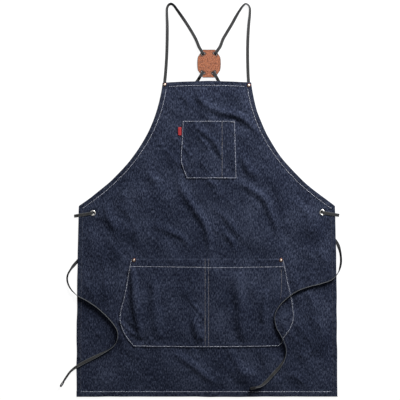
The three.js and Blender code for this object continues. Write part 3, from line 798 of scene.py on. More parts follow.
@dataclass(frozen=True)
class MetalFinish(Surface):
    """Small plated hardware, with tarnish in its hollows and fine handling marks."""

    bright: tuple[float, float, float] = (0.60, 0.36, 0.24)
    tarnish: tuple[float, float, float] = (0.10, 0.050, 0.034)
    heart: tuple[float, float, float] = (0.60, 0.36, 0.24)
    heart_radius: float = 0.0
    spread: float = 0.5

    def make(self, groups: dict[str, bpy.types.NodeTree]) -> bpy.types.Material:
        """Builds the material from the shared groups."""
        material, shader, skin = self.start()
        place = shader.node("ShaderNodeTexCoord").outputs["Object"]
        inputs = {"Vector": place, "Scale": 620.0, "Detail": 4.0, "Roughness": 0.7}
        soil = shader.node("ShaderNodeTexNoise", inputs)
        marks = shader.group(groups["streaks"], Vector=place, Width=0.00025, Length=0.003, Contrast=0.25)
        edge = shader.node("ShaderNodeAttribute", None, attribute_name="edge").outputs["Fac"]
        hollow = shader.ramp(edge, 0.1, 1.0, 1.0, 0.0)
        dirty = shader.maths("MULTIPLY", shader.ramp(soil.outputs[0], 0.4, 0.66), self.spread)
        share = shader.maths("MAXIMUM", shader.maths("MULTIPLY", hollow, 0.85), dirty)
        plated = shader.blend(share, (*self.bright, 1), (*self.tarnish, 1))
        if self.heart_radius:
            radius = shader.node("ShaderNodeAttribute", None, attribute_name="radius").outputs["Fac"]
            rubbed = shader.ramp(radius, self.heart_radius, 0.6 * self.heart_radius, 0.0, 1.0)
            plated = shader.blend(rubbed, plated, (*self.heart, 1))
        shader.tree.links.new(plated, skin.inputs["Base Color"])
        skin.inputs["Metallic"].default_value = 1.0
        rough = shader.ramp(marks, 0, 1, self.roughness - 0.07, self.roughness + 0.12)
        shader.tree.links.new(rough, skin.inputs["Roughness"])
        self.bump(shader, skin, shader.maths("ADD", soil.outputs[0], marks), 0.00006, 0.6)
        return material


class Finishes:
    """Every material of the apron, made once."""

    def __init__(self) -> None:
        """Builds the shared node groups and then the materials."""
        groups = {"streaks": make_streaks(), "ribs": make_ribs(), "wear": make_wear()}
        self.denim = DenimFinish("denim_face").make(groups)
        self.denim_pocket = DenimFinish("denim_pocket", roping=0.0, hem_shade=0.0, rubbed=1.0).make(groups)
        self.denim_back = DenimFinish(
            "denim_turned_in", deep=(0.012, 0.014, 0.022), plain=(0.03, 0.035, 0.05), pale=(0.09, 0.1, 0.13)
        ).make(groups)
        # the harness tape's pale edge colour is partly a real selvedge and partly painted highlight on ties
        # that stand on edge
        self.tape = TapeFinish("harness_tape").make(groups)
        self.tip = TapeFinish("tip_tape", edge=(0.022, 0.022, 0.024), light=(0.03, 0.03, 0.031)).make(groups)
        self.ribbon = TapeFinish(
            "red_ribbon", dark=(0.16, 0.008, 0.010), light=(0.36, 0.022, 0.026), edge=(0.30, 0.03, 0.03),
            weave=Weave.PLAIN, period=0.0009, half_wide=0.011, roughness=0.7, specular=0.25,
        ).make(groups)
        self.thread = ThreadFinish("topstitch_thread", roughness=0.8, specular=0.2).make(groups)
        self.dim_thread = ThreadFinish(
            "tonal_thread", roughness=0.8, specular=0.2,
            colour=(0.085, 0.09, 0.115), shade=(0.03, 0.034, 0.05),
        ).make(groups)
        self.seam_thread = ThreadFinish(
            "seam_thread", roughness=0.8, specular=0.2, colour=(0.27, 0.26, 0.26), shade=(0.10, 0.095, 0.10)
        ).make(groups)
        self.leather = LeatherFinish("tan_leather", roughness=0.55, specular=0.35).make(groups)
        self.copper = MetalFinish(
            "antique_copper", roughness=0.38, specular=0.5,
            bright=(0.20, 0.085, 0.05), heart=(0.92, 0.85, 0.74), heart_radius=3.1,
        ).make(groups)
        self.nickel = MetalFinish(
            "pale_nickel", roughness=0.32, specular=0.5,
            bright=(0.78, 0.77, 0.73), tarnish=(0.34, 0.33, 0.31), spread=0.25,
        ).make(groups)


# ---------------------------------------------------------------- making pieces


def uniform(value: float) -> Callable[[Array, Array], Array]:
    """Gives one value at every place."""
    return lambda x, y: np.full(x.shape, value)


def away_from(middle: Array) -> Callable[[Array, Array], Array]:
    """Gives how far places are from an upright axis."""
    return lambda x, y: np.hypot(x - middle[0], y - middle[1])


def mark(piece: bpy.types.Object, name: str, value: Callable[[Array, Array], Array]) -> None:
    """Keeps a value on a piece's points for its material to read.

    Args:
        piece: The piece, in metres.
        name: The attribute's name.
        value: Gives the value from x and y in millimetres.
    """
    mesh = piece.data
    co = np.zeros(len(mesh.vertices) * 3, np.float32)
    mesh.vertices.foreach_get("co", co)
    at = co.reshape(-1, 3).astype(float) / MM
    attribute = mesh.attributes.new(name, "FLOAT", "POINT")
    attribute.data.foreach_set("value", value(at[:, 0], at[:, 1]).astype(np.float32))


def finished(
    name: str,
    mesh_data: bmesh.types.BMesh,
    material: bpy.types.Material,
    nodes: Sequence[str] = (),
    edge: Optional[Callable[[Array, Array], Array]] = None,
) -> bpy.types.Object:
    """Turns a bmesh in millimetres into an object in metres, at the origin.

    Args:
        name: The piece's name.
        mesh_data: The mesh, which is freed.
        material: Its finish.
        nodes: The CAD nodes that it stands for.
        edge: Gives the distance from the piece's edge at many places, kept as an attribute.

    Returns:
        The new object.
    """
    bmesh.ops.scale(mesh_data, vec=(MM, MM, MM), verts=mesh_data.verts)
    mesh = bpy.data.meshes.new(name)
    mesh_data.to_mesh(mesh)
    mesh_data.free()
    mesh.shade_smooth()
    piece = bpy.data.objects.new(name, mesh)
    if edge is not None:
        mark(piece, "edge", edge)
    bpy.context.scene.collection.objects.link(piece)
    mesh.materials.append(material)
    if nodes:
        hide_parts(*nodes)
    LOG.info("made %s, %d faces", name, len(mesh.polygons))
    return piece


def thicken(piece: bpy.types.Object, thickness: float, bevel: float = 0.0) -> None:
    """Gives a sheet its thickness on its under side, and rounds its edges if asked to."""
    solidify = piece.modifiers.new("thickness", "SOLIDIFY")
    solidify.thickness = thickness * MM
    solidify.offset = -1.0
    if bevel:
        rounding = piece.modifiers.new("rounding", "BEVEL")
        rounding.width = bevel * MM
        rounding.segments = 2
        rounding.limit_method = "ANGLE"
        rounding.angle_limit = math.radians(50)


def wrapped_grid(columns: int, rows: int, place: Callable[[Array, Array], Array]) -> bmesh.types.BMesh:
    """Makes a grid and puts each of its points in place.

    Args:
        columns, rows: The number of points each way.
        place: Gives the places, in millimetres, from the columns and rows of many points.

    Returns:
        The mesh.
    """
    made = bmesh.new()
    bmesh.ops.create_grid(made, x_segments=columns - 1, y_segments=rows - 1, size=1.0)
    flat = np.array([v.co[:2] for v in made.verts])
    column = np.rint((flat[:, 0] + 1) / 2 * (columns - 1)).astype(int)
    row = np.rint((flat[:, 1] + 1) / 2 * (rows - 1)).astype(int)
    for vert, at in zip(made.verts, place(column, row)):
        vert.co = at
    return made


@dataclass(frozen=True)
class Rim:
    """How a sheet's grid is spaced in from an edge, and how the edge is rolled under."""

    inward: tuple[float, ...]
    drop: tuple[float, ...]


HEM_RIM = Rim(
    (1.7, 0.7, 0.1, 0.0, 0.1, 0.5, 1.2, 2.6, 4.8, 7.2, 9.4, 10.7, 11.3, 11.9, 12.6, 13.6, 15.2),
    (3.35, 3.2, 2.5, 1.7, 0.9, 0.25, 0.0) + (0.0,) * 10,
)
POCKET_RIM = Rim(
    (1.0, 0.3, 0.0, 0.12, 0.5, 1.2, 2.1, 2.9, 3.7, 5.0, 7.2, 9.6, 12.0),
    (1.75, 1.55, 1.0, 0.5, 0.12, 0.0) + (0.0,) * 7,
)


@dataclass
class Sheet:
    """A sheet of cloth on a cut, on a grid that is finest along its edges."""

    cut: Cut
    rim: Rim
    top: Callable[[Array, Array, Array], Array]
    columns: int
    rows: int
    wander: float = 0.5
    seed: int = 21
    fixed: Sequence[EdgeLine] = field(default_factory=tuple)
    lifts: Sequence[tuple[float, float, float, float]] = field(default_factory=tuple)

    def _spacing(self, inner: int) -> tuple[Array, Array, Array]:
        """For each grid line: which edge it keeps to (0, 1 or 2 for between), inward, drop."""
        inward, drop = np.array(self.rim.inward), np.array(self.rim.drop)
        side = np.concatenate([np.zeros(len(inward)), np.full(inner, 2.0), np.ones(len(inward))])
        share = np.arange(1, inner + 1) / (inner + 1)
        spaced = np.concatenate([inward, share, inward[::-1]])
        return side, spaced, np.concatenate([drop, np.zeros(inner), drop[::-1]])

    def _between(self, share: Array, left: Array, right: Array, y: Array) -> Array:
        """The x of a grid line between the rims, where some lines keep to fixed seams."""
        if not self.fixed:
            return left + (right - left) * share
        stops = [left, *(line.at(y)[0] for line in self.fixed), right]
        middle = 0.5 * (self.cut.low + self.cut.high)
        ends = [self.cut.side(self.cut.left, np.array([middle]), 0.0, 1)[0]]
        ends += [float(line.at(np.array([middle]))[0][0]) for line in self.fixed]
        ends += [self.cut.side(self.cut.right, np.array([middle]), 0.0, -1)[0]]
        count = self.columns + 1
        marks = [round((end - ends[0]) / (ends[-1] - ends[0]) * count) for end in ends]
        for k in range(1, len(marks) - 1):
            marks[k] = max(marks[k], marks[k - 1] + 1)
        place = share * count
        return sum(
            np.where(
                (place > marks[k]) & (place <= marks[k + 1]) | ((k == 0) & (place <= marks[1])),
                stops[k] + (stops[k + 1] - stops[k]) * (place - marks[k]) / (marks[k + 1] - marks[k]), 0.0,
            )
            for k in range(len(marks) - 1)
        )

    def mesh(self) -> bmesh.types.BMesh:
        """The sheet's upper surface."""
        col_side, col_in, col_drop = self._spacing(self.columns)
        row_side, row_in, row_drop = self._spacing(self.rows)
        inner = self.rim.inward[-1]
        cut = self.cut
        low, high = cut.low + inner, cut.high - inner
        ys = np.where(row_side == 0, cut.low + row_in, np.where(row_side == 1, cut.high - row_in, 0))
        ys = np.where(row_side == 2, low + (high - low) * row_in, ys)
        swell = Swell(38, 38, self.seed)

        def place(column: Array, row: Array) -> Array:
            """Where the grid's points lie."""
            y = ys[row]
            side, inward = col_side[column], col_in[column]
            left = cut.side(cut.left, y, np.where(side == 0, inward, inner), 1)
            right = cut.side(cut.right, y, np.where(side == 1, inward, inner), -1)
            between = self._between(inward, left, right, y)
            x = np.where(side == 0, left, np.where(side == 1, right, between))
            y = y + cut.bow(x, y)
            edge = cut.edge_distance(x, y)
            drop = np.maximum(col_drop[column], row_drop[row])
            z = self.top(x, y, edge) - drop
            for at_x, at_y, reach, least in self.lifts:
                lift = least * smoothstep(reach * 1.6, reach, np.hypot(x - at_x, y - at_y))
                z = np.maximum(z, lift)
            loose = self.wander * smoothstep(60, 5, edge)
            return np.stack([x + loose * swell.at(x, y), y + loose * swell.at(y, x + 500), z], axis=1)

        return wrapped_grid(len(col_side), len(row_side), place)


def open_round_hole(made: bmesh.types.BMesh, x: float, y: float, radius: float) -> None:
    """Cuts a clean round hole through a sheet's surface.

    Args:
        made: The sheet.
        x, y: The hole's middle.
        radius: Its radius.
    """

    def away_of(spot: Vector) -> float:
        """How far a spot is from the hole's axis."""
        return math.hypot(spot.x - x, spot.y - y)

    close = [e for e in made.edges if all(away_of(v.co) < 2.2 * radius for v in e.verts)]
    bmesh.ops.subdivide_edges(made, edges=close, cuts=3, use_grid_fill=True)
    middle = [f for f in made.faces if away_of(f.calc_center_median()) < radius]
    bmesh.ops.delete(made, geom=middle, context="FACES")
    rim = [v for v in made.verts if v.is_boundary and away_of(v.co) < 1.5 * radius]
    for vert in rim:
        away = away_of(vert.co)
        vert.co.x = x + (vert.co.x - x) * radius / away
        vert.co.y = y + (vert.co.y - y) * radius / away


def closed_band(centre: Array, wide: Array, thin: Array, section: Array) -> bmesh.types.BMesh:
    """Makes a closed strip along a line.

    Args:
        centre: The strip's middle line, as rows of x, y and z.
        wide, thin: Half its width and half its thickness at each point, as vectors.
        section: The outline of its section, from -1 to 1 both ways, without its first point again.

    Returns:
        The mesh, with a UV map named length: metres along and metres across.
    """
    ring = np.vstack([section, section[:1]])
    along = length_along(centre) * MM
    half = np.linalg.norm(wide, axis=1) * MM
    grid_of = {}

    def place(column: Array, row: Array) -> Array:
        """Where the band's points lie."""
        grid_of["column"], grid_of["row"] = column, row
        return centre[row] + wide[row] * ring[column, :1] + thin[row] * ring[column, 1:]

    made = wrapped_grid(len(ring), len(centre), place)
    uv = made.loops.layers.uv.new("length")
    made.verts.index_update()
    for face in made.faces:
        for loop in face.loops:
            column, row = grid_of["column"][loop.vert.index], grid_of["row"][loop.vert.index]
            loop[uv].uv = (along[row], ring[column, 0] * half[row])
    bmesh.ops.remove_doubles(made, verts=made.verts, dist=1e-4)
    bmesh.ops.holes_fill(made, edges=[e for e in made.edges if e.is_boundary], sides=0)
    bmesh.ops.recalc_face_normals(made, faces=made.faces)
    return made


TAPE_SECTION = np.array([
    (-0.92, -0.9), (-0.5, -1), (0, -1), (0.5, -1), (0.92, -0.9), (1, -0.4), (1, 0.4),
    (0.92, 0.9), (0.5, 1), (0, 1), (-0.5, 1), (-0.92, 0.9), (-1, 0.4), (-1, -0.4),
])
FLAT_SECTION = np.array([
    (-0.9, -1), (-0.3, -1), (0.3, -1), (0.9, -1), (1, -0.45), (1, 0.45),
    (0.9, 1), (0.3, 1), (-0.3, 1), (-0.9, 1), (-1, 0.45), (-1, -0.45),
])


@dataclass
class Tape:
    """A length of flat tape on its route.

    Each stop of the route is x, y and the height of the tape's lower side, in metres, and how
    steeply the tape stands there, from 0 (flat) to 90 (on edge), in degrees.
    """

    stops: Sequence[StopRow]
    on_cloth: bool = False
    wide: float = TAPE_WIDE
    thick: float = TAPE_THICK
    steps: int = 9
    centre: Array = field(init=False)
    half_wide: Array = field(init=False)
    half_thin: Array = field(init=False)

    def __post_init__(self) -> None:
        """Works out the middle line and how the tape is turned along it."""
        rows = np.array(self.stops, float)
        flat = through(rows[:, :2] / MM, self.steps)
        under = self._eased(rows[:, 2] / MM)
        stand = np.radians(self._eased(rows[:, 3]))
        if self.on_cloth:
            under = self._lie_on(flat, under)
        rise = (self.wide * np.sin(stand) + self.thick * np.cos(stand)) / 2
        self.centre = np.column_stack([flat, under + rise])
        wides, thins, level = [], [], None
        for forward, angle in zip(headings(self.centre), stand):
            across = np.cross((0, 0, 1), forward)
            if np.linalg.norm(across) < 0.3 and level is not None:
                across = level
            across = across - forward * (across @ forward)
            across /= np.linalg.norm(across)
            if level is not None and across @ level < 0:
                across = -across
            level = across
            wide = across * math.cos(angle) + np.cross(forward, across) * math.sin(angle)
            wides.append(wide * self.wide / 2)
            thins.append(np.cross(forward, wide) * self.thick / 2)
        self.half_wide, self.half_thin = np.array(wides), np.array(thins)

    def _eased(self, values: Array) -> Array:
        """Values between the stops, which never overshoot."""
        rise = np.diff(values)
        slope = np.concatenate([[rise[0]], np.zeros(len(rise) - 1), [rise[-1]]])
        for k in range(1, len(rise)):
            if rise[k - 1] * rise[k] > 0:
                slope[k] = 2 * rise[k - 1] * rise[k] / (rise[k - 1] + rise[k])
        made = []
        for k in range(len(rise)):
            f = np.linspace(0, 1, self.steps, endpoint=False)
            made.append(
                values[k] * (1 + 2 * f) * (1 - f) ** 2 + slope[k] * f * (1 - f) ** 2
                + values[k + 1] * f * f * (3 - 2 * f) + slope[k + 1] * f * f * (f - 1)
            )
        return np.concatenate([*made, values[-1:]])

    @staticmethod
    def _lie_on(flat: Array, under: Array) -> Array:
        """Lifts the lower side onto the folds of the cloth, as a tape bridges small hollows."""
        along = length_along(flat)
        here = np.array(GROUND.top(flat[:, 0], flat[:, 1]))
        for turn in np.linspace(0, 2 * np.pi, 8, endpoint=False):
            around = GROUND.top(flat[:, 0] + 2.0 * np.cos(turn), flat[:, 1] + 2.0 * np.sin(turn))
            here = np.maximum(here, around)
        over = under > 3.0
        lift = np.where(over, here + 0.12 - under, 0.0)
        weight = np.exp(-(((along[:, None] - along[None, :]) / 7.0) ** 2))
        eased = (weight @ lift) / weight.sum(axis=1)
        lying = np.maximum(under + eased, np.where(over, here + 0.12, under))
        weight = np.exp(-(((along[:, None] - along[None, :]) / 3.0) ** 2))
        smooth = (weight @ lying) / weight.sum(axis=1)
        return np.where(over, np.maximum(smooth, here + 0.05), np.where(eased > 0.02, lying, under))

    def mesh(self) -> bmesh.types.BMesh:
        """The tape's mesh."""
        return closed_band(self.centre, self.half_wide, self.half_thin, TAPE_SECTION)

    def length(self) -> float:
        """The tape's length, in metres."""
        return float(length_along(self.centre)[-1] * MM)


class Probe:
    """Measures how high a finished sheet is, so that stitches sit in its real surface."""

    ABOVE = 60.0

    def __init__(self, made: bmesh.types.BMesh) -> None:
        """Keeps a search tree of a sheet that is still in millimetres."""
        self.tree = BVHTree.FromBMesh(made)

    def at(self, x: Array, y: Array) -> Array:
        """The sheet's height at many places."""
        heights = []
        for spot_x, spot_y in zip(x, y):
            hit = self.tree.ray_cast(Vector((spot_x, spot_y, self.ABOVE)), Vector((0, 0, -1)))[0]
            heights.append(hit.z if hit else heights[-1] if heights else 3.5)
        return np.array(heights)


@dataclass
class Seam:
    """A row of stitches along a line on the cloth."""

    line: Array
    height: Callable[[Array, Array], Array]
    pitch: float = 4.1
    stitch: float = 3.5
    thread: float = 1.05
    seed: int = 5

    def mesh(self) -> bmesh.types.BMesh:
        """The stitches, each a short plump float of thread that dips at its ends."""
        spots = evenly(self.line, self.pitch)
        way = np.gradient(spots, axis=0)
        heading = np.arctan2(way[:, 1], way[:, 0])
        rng = np.random.default_rng(self.seed)
        level = self.height(spots[:, 0], spots[:, 1])
        made = bmesh.new()
        for (x, y), turn, z in zip(spots, heading, level):
            shift, tilt = rng.normal(0, 0.12, 2), rng.normal(0, 0.05)
            size = (self.stitch * rng.uniform(0.9, 1.06) / 2, self.thread / 2, self.thread * 0.36)
            matrix = (
                Matrix.Translation((x + shift[0], y + shift[1], z + 0.14))
                @ Matrix.Rotation(turn + tilt, 4, "Z") @ Matrix.Diagonal((*size, 1))
            )
            bmesh.ops.create_uvsphere(made, u_segments=8, v_segments=5, radius=1.0, matrix=matrix)
        return made


def spun(profile: Sequence[Point], middle: Array, steps: int = 36) -> bmesh.types.BMesh:
    """Spins a profile about an upright axis.

    Args:
        profile: Its points, as radius and height.
        middle: Where the axis stands, with the height that the profile's zero is at.
        steps: How many steps the full turn has.

    Returns:
        The closed mesh.
    """
    made = bmesh.new()
    verts = [made.verts.new((radius, 0, height)) for radius, height in profile]
    edges = [made.edges.new(pair) for pair in zip(verts, verts[1:])]
    bmesh.ops.spin(
        made, geom=[*verts, *edges], cent=(0, 0, 0), axis=(0, 0, 1), dvec=(0, 0, 0),
        angle=2 * math.pi, steps=steps, use_merge=True,
    )
    bmesh.ops.remove_doubles(made, verts=made.verts, dist=1e-3)
    bmesh.ops.recalc_face_normals(made, faces=made.faces)
    bmesh.ops.translate(made, vec=tuple(middle), verts=made.verts)
    return made


# ---------------------------------------------------------------- sub-assemblies


@dataclass
class Studio:
    """A white floor, a pale room, one soft key light and the camera straight above."""

    camera_x: float = -0.0184
    camera_height: float = 2.5217
    lens: float = 85.0
    room: float = 0.22
    floor_shade: float = 0.12
    floor_glow: float = 0.93
    key_power: float = 160.0
    key_place: tuple[float, float, float] = (1.08, 1.86, 1.24)
    key_size: float = 1.3

    def make(self) -> None:
        """Builds the camera, the floor and the lights."""
        scene = bpy.context.scene
        scene.view_settings.view_transform = "Standard"
        camera = bpy.data.cameras.new("camera")
        camera.lens, camera.sensor_width = self.lens, 36.0
        holder = bpy.data.objects.new("camera", camera)
        holder.location = (self.camera_x, 0, self.camera_height)
        scene.collection.objects.link(holder)
        scene.camera = holder

        ground = bmesh.new()
        bmesh.ops.create_grid(ground, x_segments=2, y_segments=2, size=14.0)
        bmesh.ops.translate(ground, vec=(0, 0, -0.0002), verts=ground.verts)
        mesh = bpy.data.meshes.new("floor")
        ground.to_mesh(mesh)
        ground.free()
        floor = bpy.data.objects.new("floor", mesh)
        scene.collection.objects.link(floor)
        paint = bpy.data.materials.new("white_floor")
        paint.use_nodes = True
        skin = paint.node_tree.nodes["Principled BSDF"]
        skin.inputs["Base Color"].default_value = (*[self.floor_shade] * 3, 1)
        skin.inputs["Roughness"].default_value = 0.95
        skin.inputs["Specular IOR Level"].default_value = 0.0
        skin.inputs["Emission Color"].default_value = (1, 1, 1, 1)
        skin.inputs["Emission Strength"].default_value = self.floor_glow
        mesh.materials.append(paint)

        world = bpy.data.worlds.new("room")
        world.use_nodes = True
        back = world.node_tree.nodes["Background"]
        back.inputs["Color"].default_value = (1, 1, 1, 1)
        back.inputs["Strength"].default_value = self.room
        scene.world = world

        key = bpy.data.lights.new("key", "AREA")
        key.shape, key.size, key.energy = "DISK", self.key_size, self.key_power
        lamp = bpy.data.objects.new("key", key)
        lamp.location = self.key_place
        aim = -Vector(self.key_place)
        lamp.rotation_mode = "QUATERNION"
        lamp.rotation_quaternion = aim.to_track_quat("-Z", "Y")
        scene.collection.objects.link(lamp)


TIE_LEFT: tuple[StopRow, ...] = (
    (-0.3040, -0.0347, 0.0025, 0), (-0.3043, -0.0347, 0.0036, 0), (-0.3060, -0.0350, 0.0045, 0),
    (-0.3125, -0.0361, 0.0046, 0), (-0.3220, -0.0377, 0.0039, 0), (-0.3370, -0.0402, 0.0037, 0),
    (-0.3490, -0.0422, 0.0035, 0), (-0.3536, -0.0430, 0.0018, 0), (-0.3490, -0.0424, 0.0001, 0),
    (-0.3380, -0.0408, 0.0001, 0), (-0.3260, -0.0416, 0.0001, 0), (-0.3165, -0.0520, 0.0001, 0),
    (-0.3130, -0.0720, 0.0001, 0), (-0.3140, -0.0980, 0.0001, 0), (-0.3200, -0.1260, 0.0001, 0),
    (-0.3320, -0.1490, 0.0001, 0), (-0.3460, -0.1640, 0.0001, 0), (-0.3540, -0.1730, 0.0001, 8),
    (-0.3630, -0.1850, 0.0001, 50), (-0.3700, -0.1970, 0.0001, 54), (-0.3725, -0.2080, 0.0001, 52),
    (-0.3705, -0.2220, 0.0004, 54), (-0.3620, -0.2380, 0.0022, 60), (-0.3490, -0.2515, 0.0037, 74),
    (-0.3360, -0.2595, 0.0037, 90), (-0.3220, -0.2665, 0.0037, 90), (-0.2970, -0.2830, 0.0037, 90),
    (-0.2690, -0.3075, 0.0037, 90), (-0.2500, -0.3285, 0.0037, 90), (-0.2390, -0.3460, 0.0037, 90),
    (-0.2370, -0.3630, 0.0037, 90), (-0.2430, -0.3820, 0.0037, 90), (-0.2570, -0.3960, 0.0037, 86),
    (-0.2730, -0.4050, 0.0037, 70), (-0.2970, -0.4175, 0.0037, 30), (-0.3240, -0.4310, 0.0037, 14),
    (-0.3500, -0.4460, 0.0037, 34), (-0.3635, -0.4570, 0.0014, 50), (-0.3740, -0.4710, 0.0001, 50),
    (-0.3840, -0.4865, 0.0001, 60),
)
TIE_RIGHT: tuple[StopRow, ...] = (
    (0.3078, -0.0334, 0.0025, 0), (0.3081, -0.0334, 0.0036, 0), (0.3098, -0.0337, 0.0045, 0),
    (0.3160, -0.0347, 0.0046, 0), (0.3250, -0.0362, 0.0039, 0), (0.3380, -0.0384, 0.0037, 0),
    (0.3480, -0.0400, 0.0035, 0), (0.3524, -0.0408, 0.0018, 0), (0.3480, -0.0403, 0.0001, 0),
    (0.3380, -0.0388, 0.0001, 0), (0.3270, -0.0392, 0.0001, 0), (0.3200, -0.0495, 0.0001, 0),
    (0.3205, -0.0660, 0.0001, 0), (0.3250, -0.0840, 0.0001, 0), (0.3340, -0.0980, 0.0001, 0),
    (0.3450, -0.1110, 0.0001, 0), (0.3500, -0.1200, 0.0001, 8), (0.3550, -0.1370, 0.0001, 50),
    (0.3573, -0.1530, 0.0001, 56), (0.3573, -0.1670, 0.0003, 56), (0.3545, -0.1810, 0.0014, 66),
    (0.3495, -0.1935, 0.0037, 90), (0.3380, -0.2075, 0.0037, 90), (0.3250, -0.2155, 0.0037, 90),
    (0.3030, -0.2225, 0.0037, 90), (0.2680, -0.2315, 0.0037, 90), (0.2430, -0.2410, 0.0050, 90),
    (0.2280, -0.2495, 0.0061, 90), (0.2110, -0.2625, 0.0061, 90), (0.1900, -0.2850, 0.0061, 90),
    (0.1805, -0.3080, 0.0061, 90), (0.1840, -0.3360, 0.0061, 90), (0.1960, -0.3590, 0.0061, 90),
    (0.2055, -0.3770, 0.0061, 90), (0.2110, -0.3990, 0.0037, 88), (0.2060, -0.4240, 0.0037, 74),
    (0.1920, -0.4460, 0.0037, 40), (0.1740, -0.4660, 0.0037, 16), (0.1575, -0.4840, 0.0037, 30),
    (0.1430, -0.4950, 0.0037, 62), (0.1270, -0.4995, 0.0037, 74),
)
SHOULDER_LEFT: tuple[StopRow, ...] = (
    (-0.1135, 0.2980, 0.0010, 0), (-0.1130, 0.3075, 0.0010, 0), (-0.1120, 0.3200, 0.0008, 0),
    (-0.1105, 0.3360, 0.0001, 0), (-0.1075, 0.3790, 0.0001, 0), (-0.1060, 0.4250, 0.0001, 5),
    (-0.1057, 0.4670, 0.0001, 20), (-0.1066, 0.4970, 0.0001, 36), (-0.1060, 0.5120, 0.0001, 44),
    (-0.1018, 0.5202, 0.0001, 48), (-0.0950, 0.5229, 0.0001, 48), (-0.0880, 0.5184, 0.0001, 44),
    (-0.0805, 0.5085, 0.0001, 36), (-0.0700, 0.4940, 0.0001, 22), (-0.0566, 0.4745, 0.0001, 5),
    (-0.0400, 0.4480, 0.0004, 0), (-0.0290, 0.4275, 0.0024, 0), (-0.0209, 0.4076, 0.0048, 0),
    (-0.0159, 0.3989, 0.0060, 0), (-0.0111, 0.3907, 0.0060, 0),
)
SHOULDER_RIGHT: tuple[StopRow, ...] = (
    (0.1120, 0.2985, 0.0010, 0), (0.1115, 0.3055, 0.0010, 0), (0.1108, 0.3200, 0.0008, 0),
    (0.1099, 0.3360, 0.0001, 0), (0.1088, 0.3790, 0.0001, 0), (0.1092, 0.4250, 0.0001, 8),
    (0.1116, 0.4670, 0.0001, 20), (0.1146, 0.4970, 0.0001, 36), (0.1144, 0.5115, 0.0001, 44),
    (0.1100, 0.5200, 0.0001, 48), (0.1030, 0.5229, 0.0001, 48), (0.0955, 0.5170, 0.0001, 44),
    (0.0865, 0.5040, 0.0001, 34), (0.0780, 0.4900, 0.0001, 20), (0.0670, 0.4700, 0.0001, 5),
    (0.0515, 0.4440, 0.0004, 0), (0.0435, 0.4300, 0.0020, 0), (0.0354, 0.4090, 0.0046, 0),
    (0.0288, 0.3990, 0.0060, 0), (0.0235, 0.3911, 0.0060, 0),
)
BACK_LEFT: tuple[StopRow, ...] = (
    (-0.0118, 0.3381, 0.0060, 0), (-0.0184, 0.3281, 0.0060, 0), (-0.0208, 0.3246, 0.0027, 0),
    (-0.0235, 0.3206, 0.0001, 0), (-0.0400, 0.2980, 0.0001, 0), (-0.0650, 0.2560, 0.0001, 0),
    (-0.1080, 0.1880, 0.0001, 0), (-0.1630, 0.1120, 0.0001, 0), (-0.2260, 0.0380, 0.0001, 0),
    (-0.2800, -0.0140, 0.0001, 0), (-0.2972, -0.0288, 0.0001, 0), (-0.3017, -0.0327, 0.0001, 0),
    (-0.3033, -0.0341, 0.0010, 0), (-0.3040, -0.0347, 0.0019, 0),
)
BACK_RIGHT: tuple[StopRow, ...] = (
    (0.0191, 0.3380, 0.0060, 0), (0.0263, 0.3256, 0.0060, 0), (0.0281, 0.3225, 0.0027, 0),
    (0.0300, 0.3192, 0.0001, 0), (0.0430, 0.2980, 0.0001, 0), (0.0680, 0.2560, 0.0001, 0),
    (0.1120, 0.1880, 0.0001, 0), (0.1680, 0.1120, 0.0001, 0), (0.2320, 0.0380, 0.0001, 0),
    (0.2840, -0.0120, 0.0001, 0), (0.3011, -0.0274, 0.0001, 0), (0.3056, -0.0314, 0.0001, 0),
    (0.3071, -0.0328, 0.0010, 0), (0.3078, -0.0334, 0.0019, 0),
)


@dataclass
class Ties:
    """The two waist ties, each a flat tape that leaves its eyelet and ends in a folded tip."""

    finishes: Finishes
    tip_long: float = 13.0
    tip_high: float = 7.6
    tip_turns: float = 2.6
    tip_thin: float = 0.62
    towards: dict[str, Point] = field(
        default_factory=lambda: {"left": (-388.2, -493.5), "right": (118.5, -501)}
    )

    def make(self) -> None:
        for side, stops in (("left", TIE_LEFT), ("right", TIE_RIGHT)):
            tape = Tape(stops, on_cloth=True)
            tie = finished(f"tie_cloth_{side}", tape.mesh(), self.finishes.tape, [f"tie_{side}"])
            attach(tie, "apron")
            tip = self._tip(side, tape)
            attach(tip, "apron")
            LOG.info("tie %s is %.3f m long", side, tape.length())

    def _tip(self, side: str, tape: Tape) -> bpy.types.Object:
        """The end of a tie, folded over twice and stitched into a small lump."""
        last = tape.centre[-1]
        target = np.array(self.towards[side])
        way = (target - last[:2]) / np.linalg.norm(target - last[:2])
        turns = np.linspace(0, self.tip_turns * 2 * np.pi, 60)
        radius = 0.5 + 2.8 * turns / turns[-1]
        long = self.tip_long / 2 - 1.5
        a = radius * np.cos(turns) + long * np.tanh(2.2 * np.cos(turns))
        b = radius * np.sin(turns)
        start = last[:2] + way * (self.tip_long / 2 - 2.0)
        z = last[2]
        centre = np.column_stack([
            start[0] + way[0] * a - way[1] * b, start[1] + way[1] * a + way[0] * b, np.full(len(a), z),
        ])
        wide = np.tile((0.0, 0.0, self.tip_high / 2), (len(a), 1))
        thin = np.cross(headings(centre), (0, 0, 1)) * self.tip_thin
        made = closed_band(centre, wide, thin, TAPE_SECTION)
        return finished(f"tie_tip_cloth_{side}", made, self.finishes.tip, [f"tie_tip_{side}"])


def folded_strip(
    name: str, node: str, line: Array, middle: Array, half: float, thick: Array, finishes: Finishes
) -> bpy.types.Object:
    """Makes a closed strip of turned-in cloth along a line, which rides on the apron.

    Args:
        name: The piece's name.
        node: The CAD node that it stands for.
        line: Its middle line, as rows of x and y.
        middle: The height of its middle at each point.
        half: Half its width.
        thick: Half its thickness at each point.
        finishes: The materials.

    Returns:
        The strip.
    """
    flat = np.zeros(len(line))
    across = np.column_stack([left_of(line), flat]) * half
    up = np.column_stack([flat, flat, thick])
    made = closed_band(np.column_stack([line, middle]), across, up, FLAT_SECTION)
    strip = finished(name, made, finishes.denim_back, [node], uniform(6.0))
    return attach(strip, "apron")


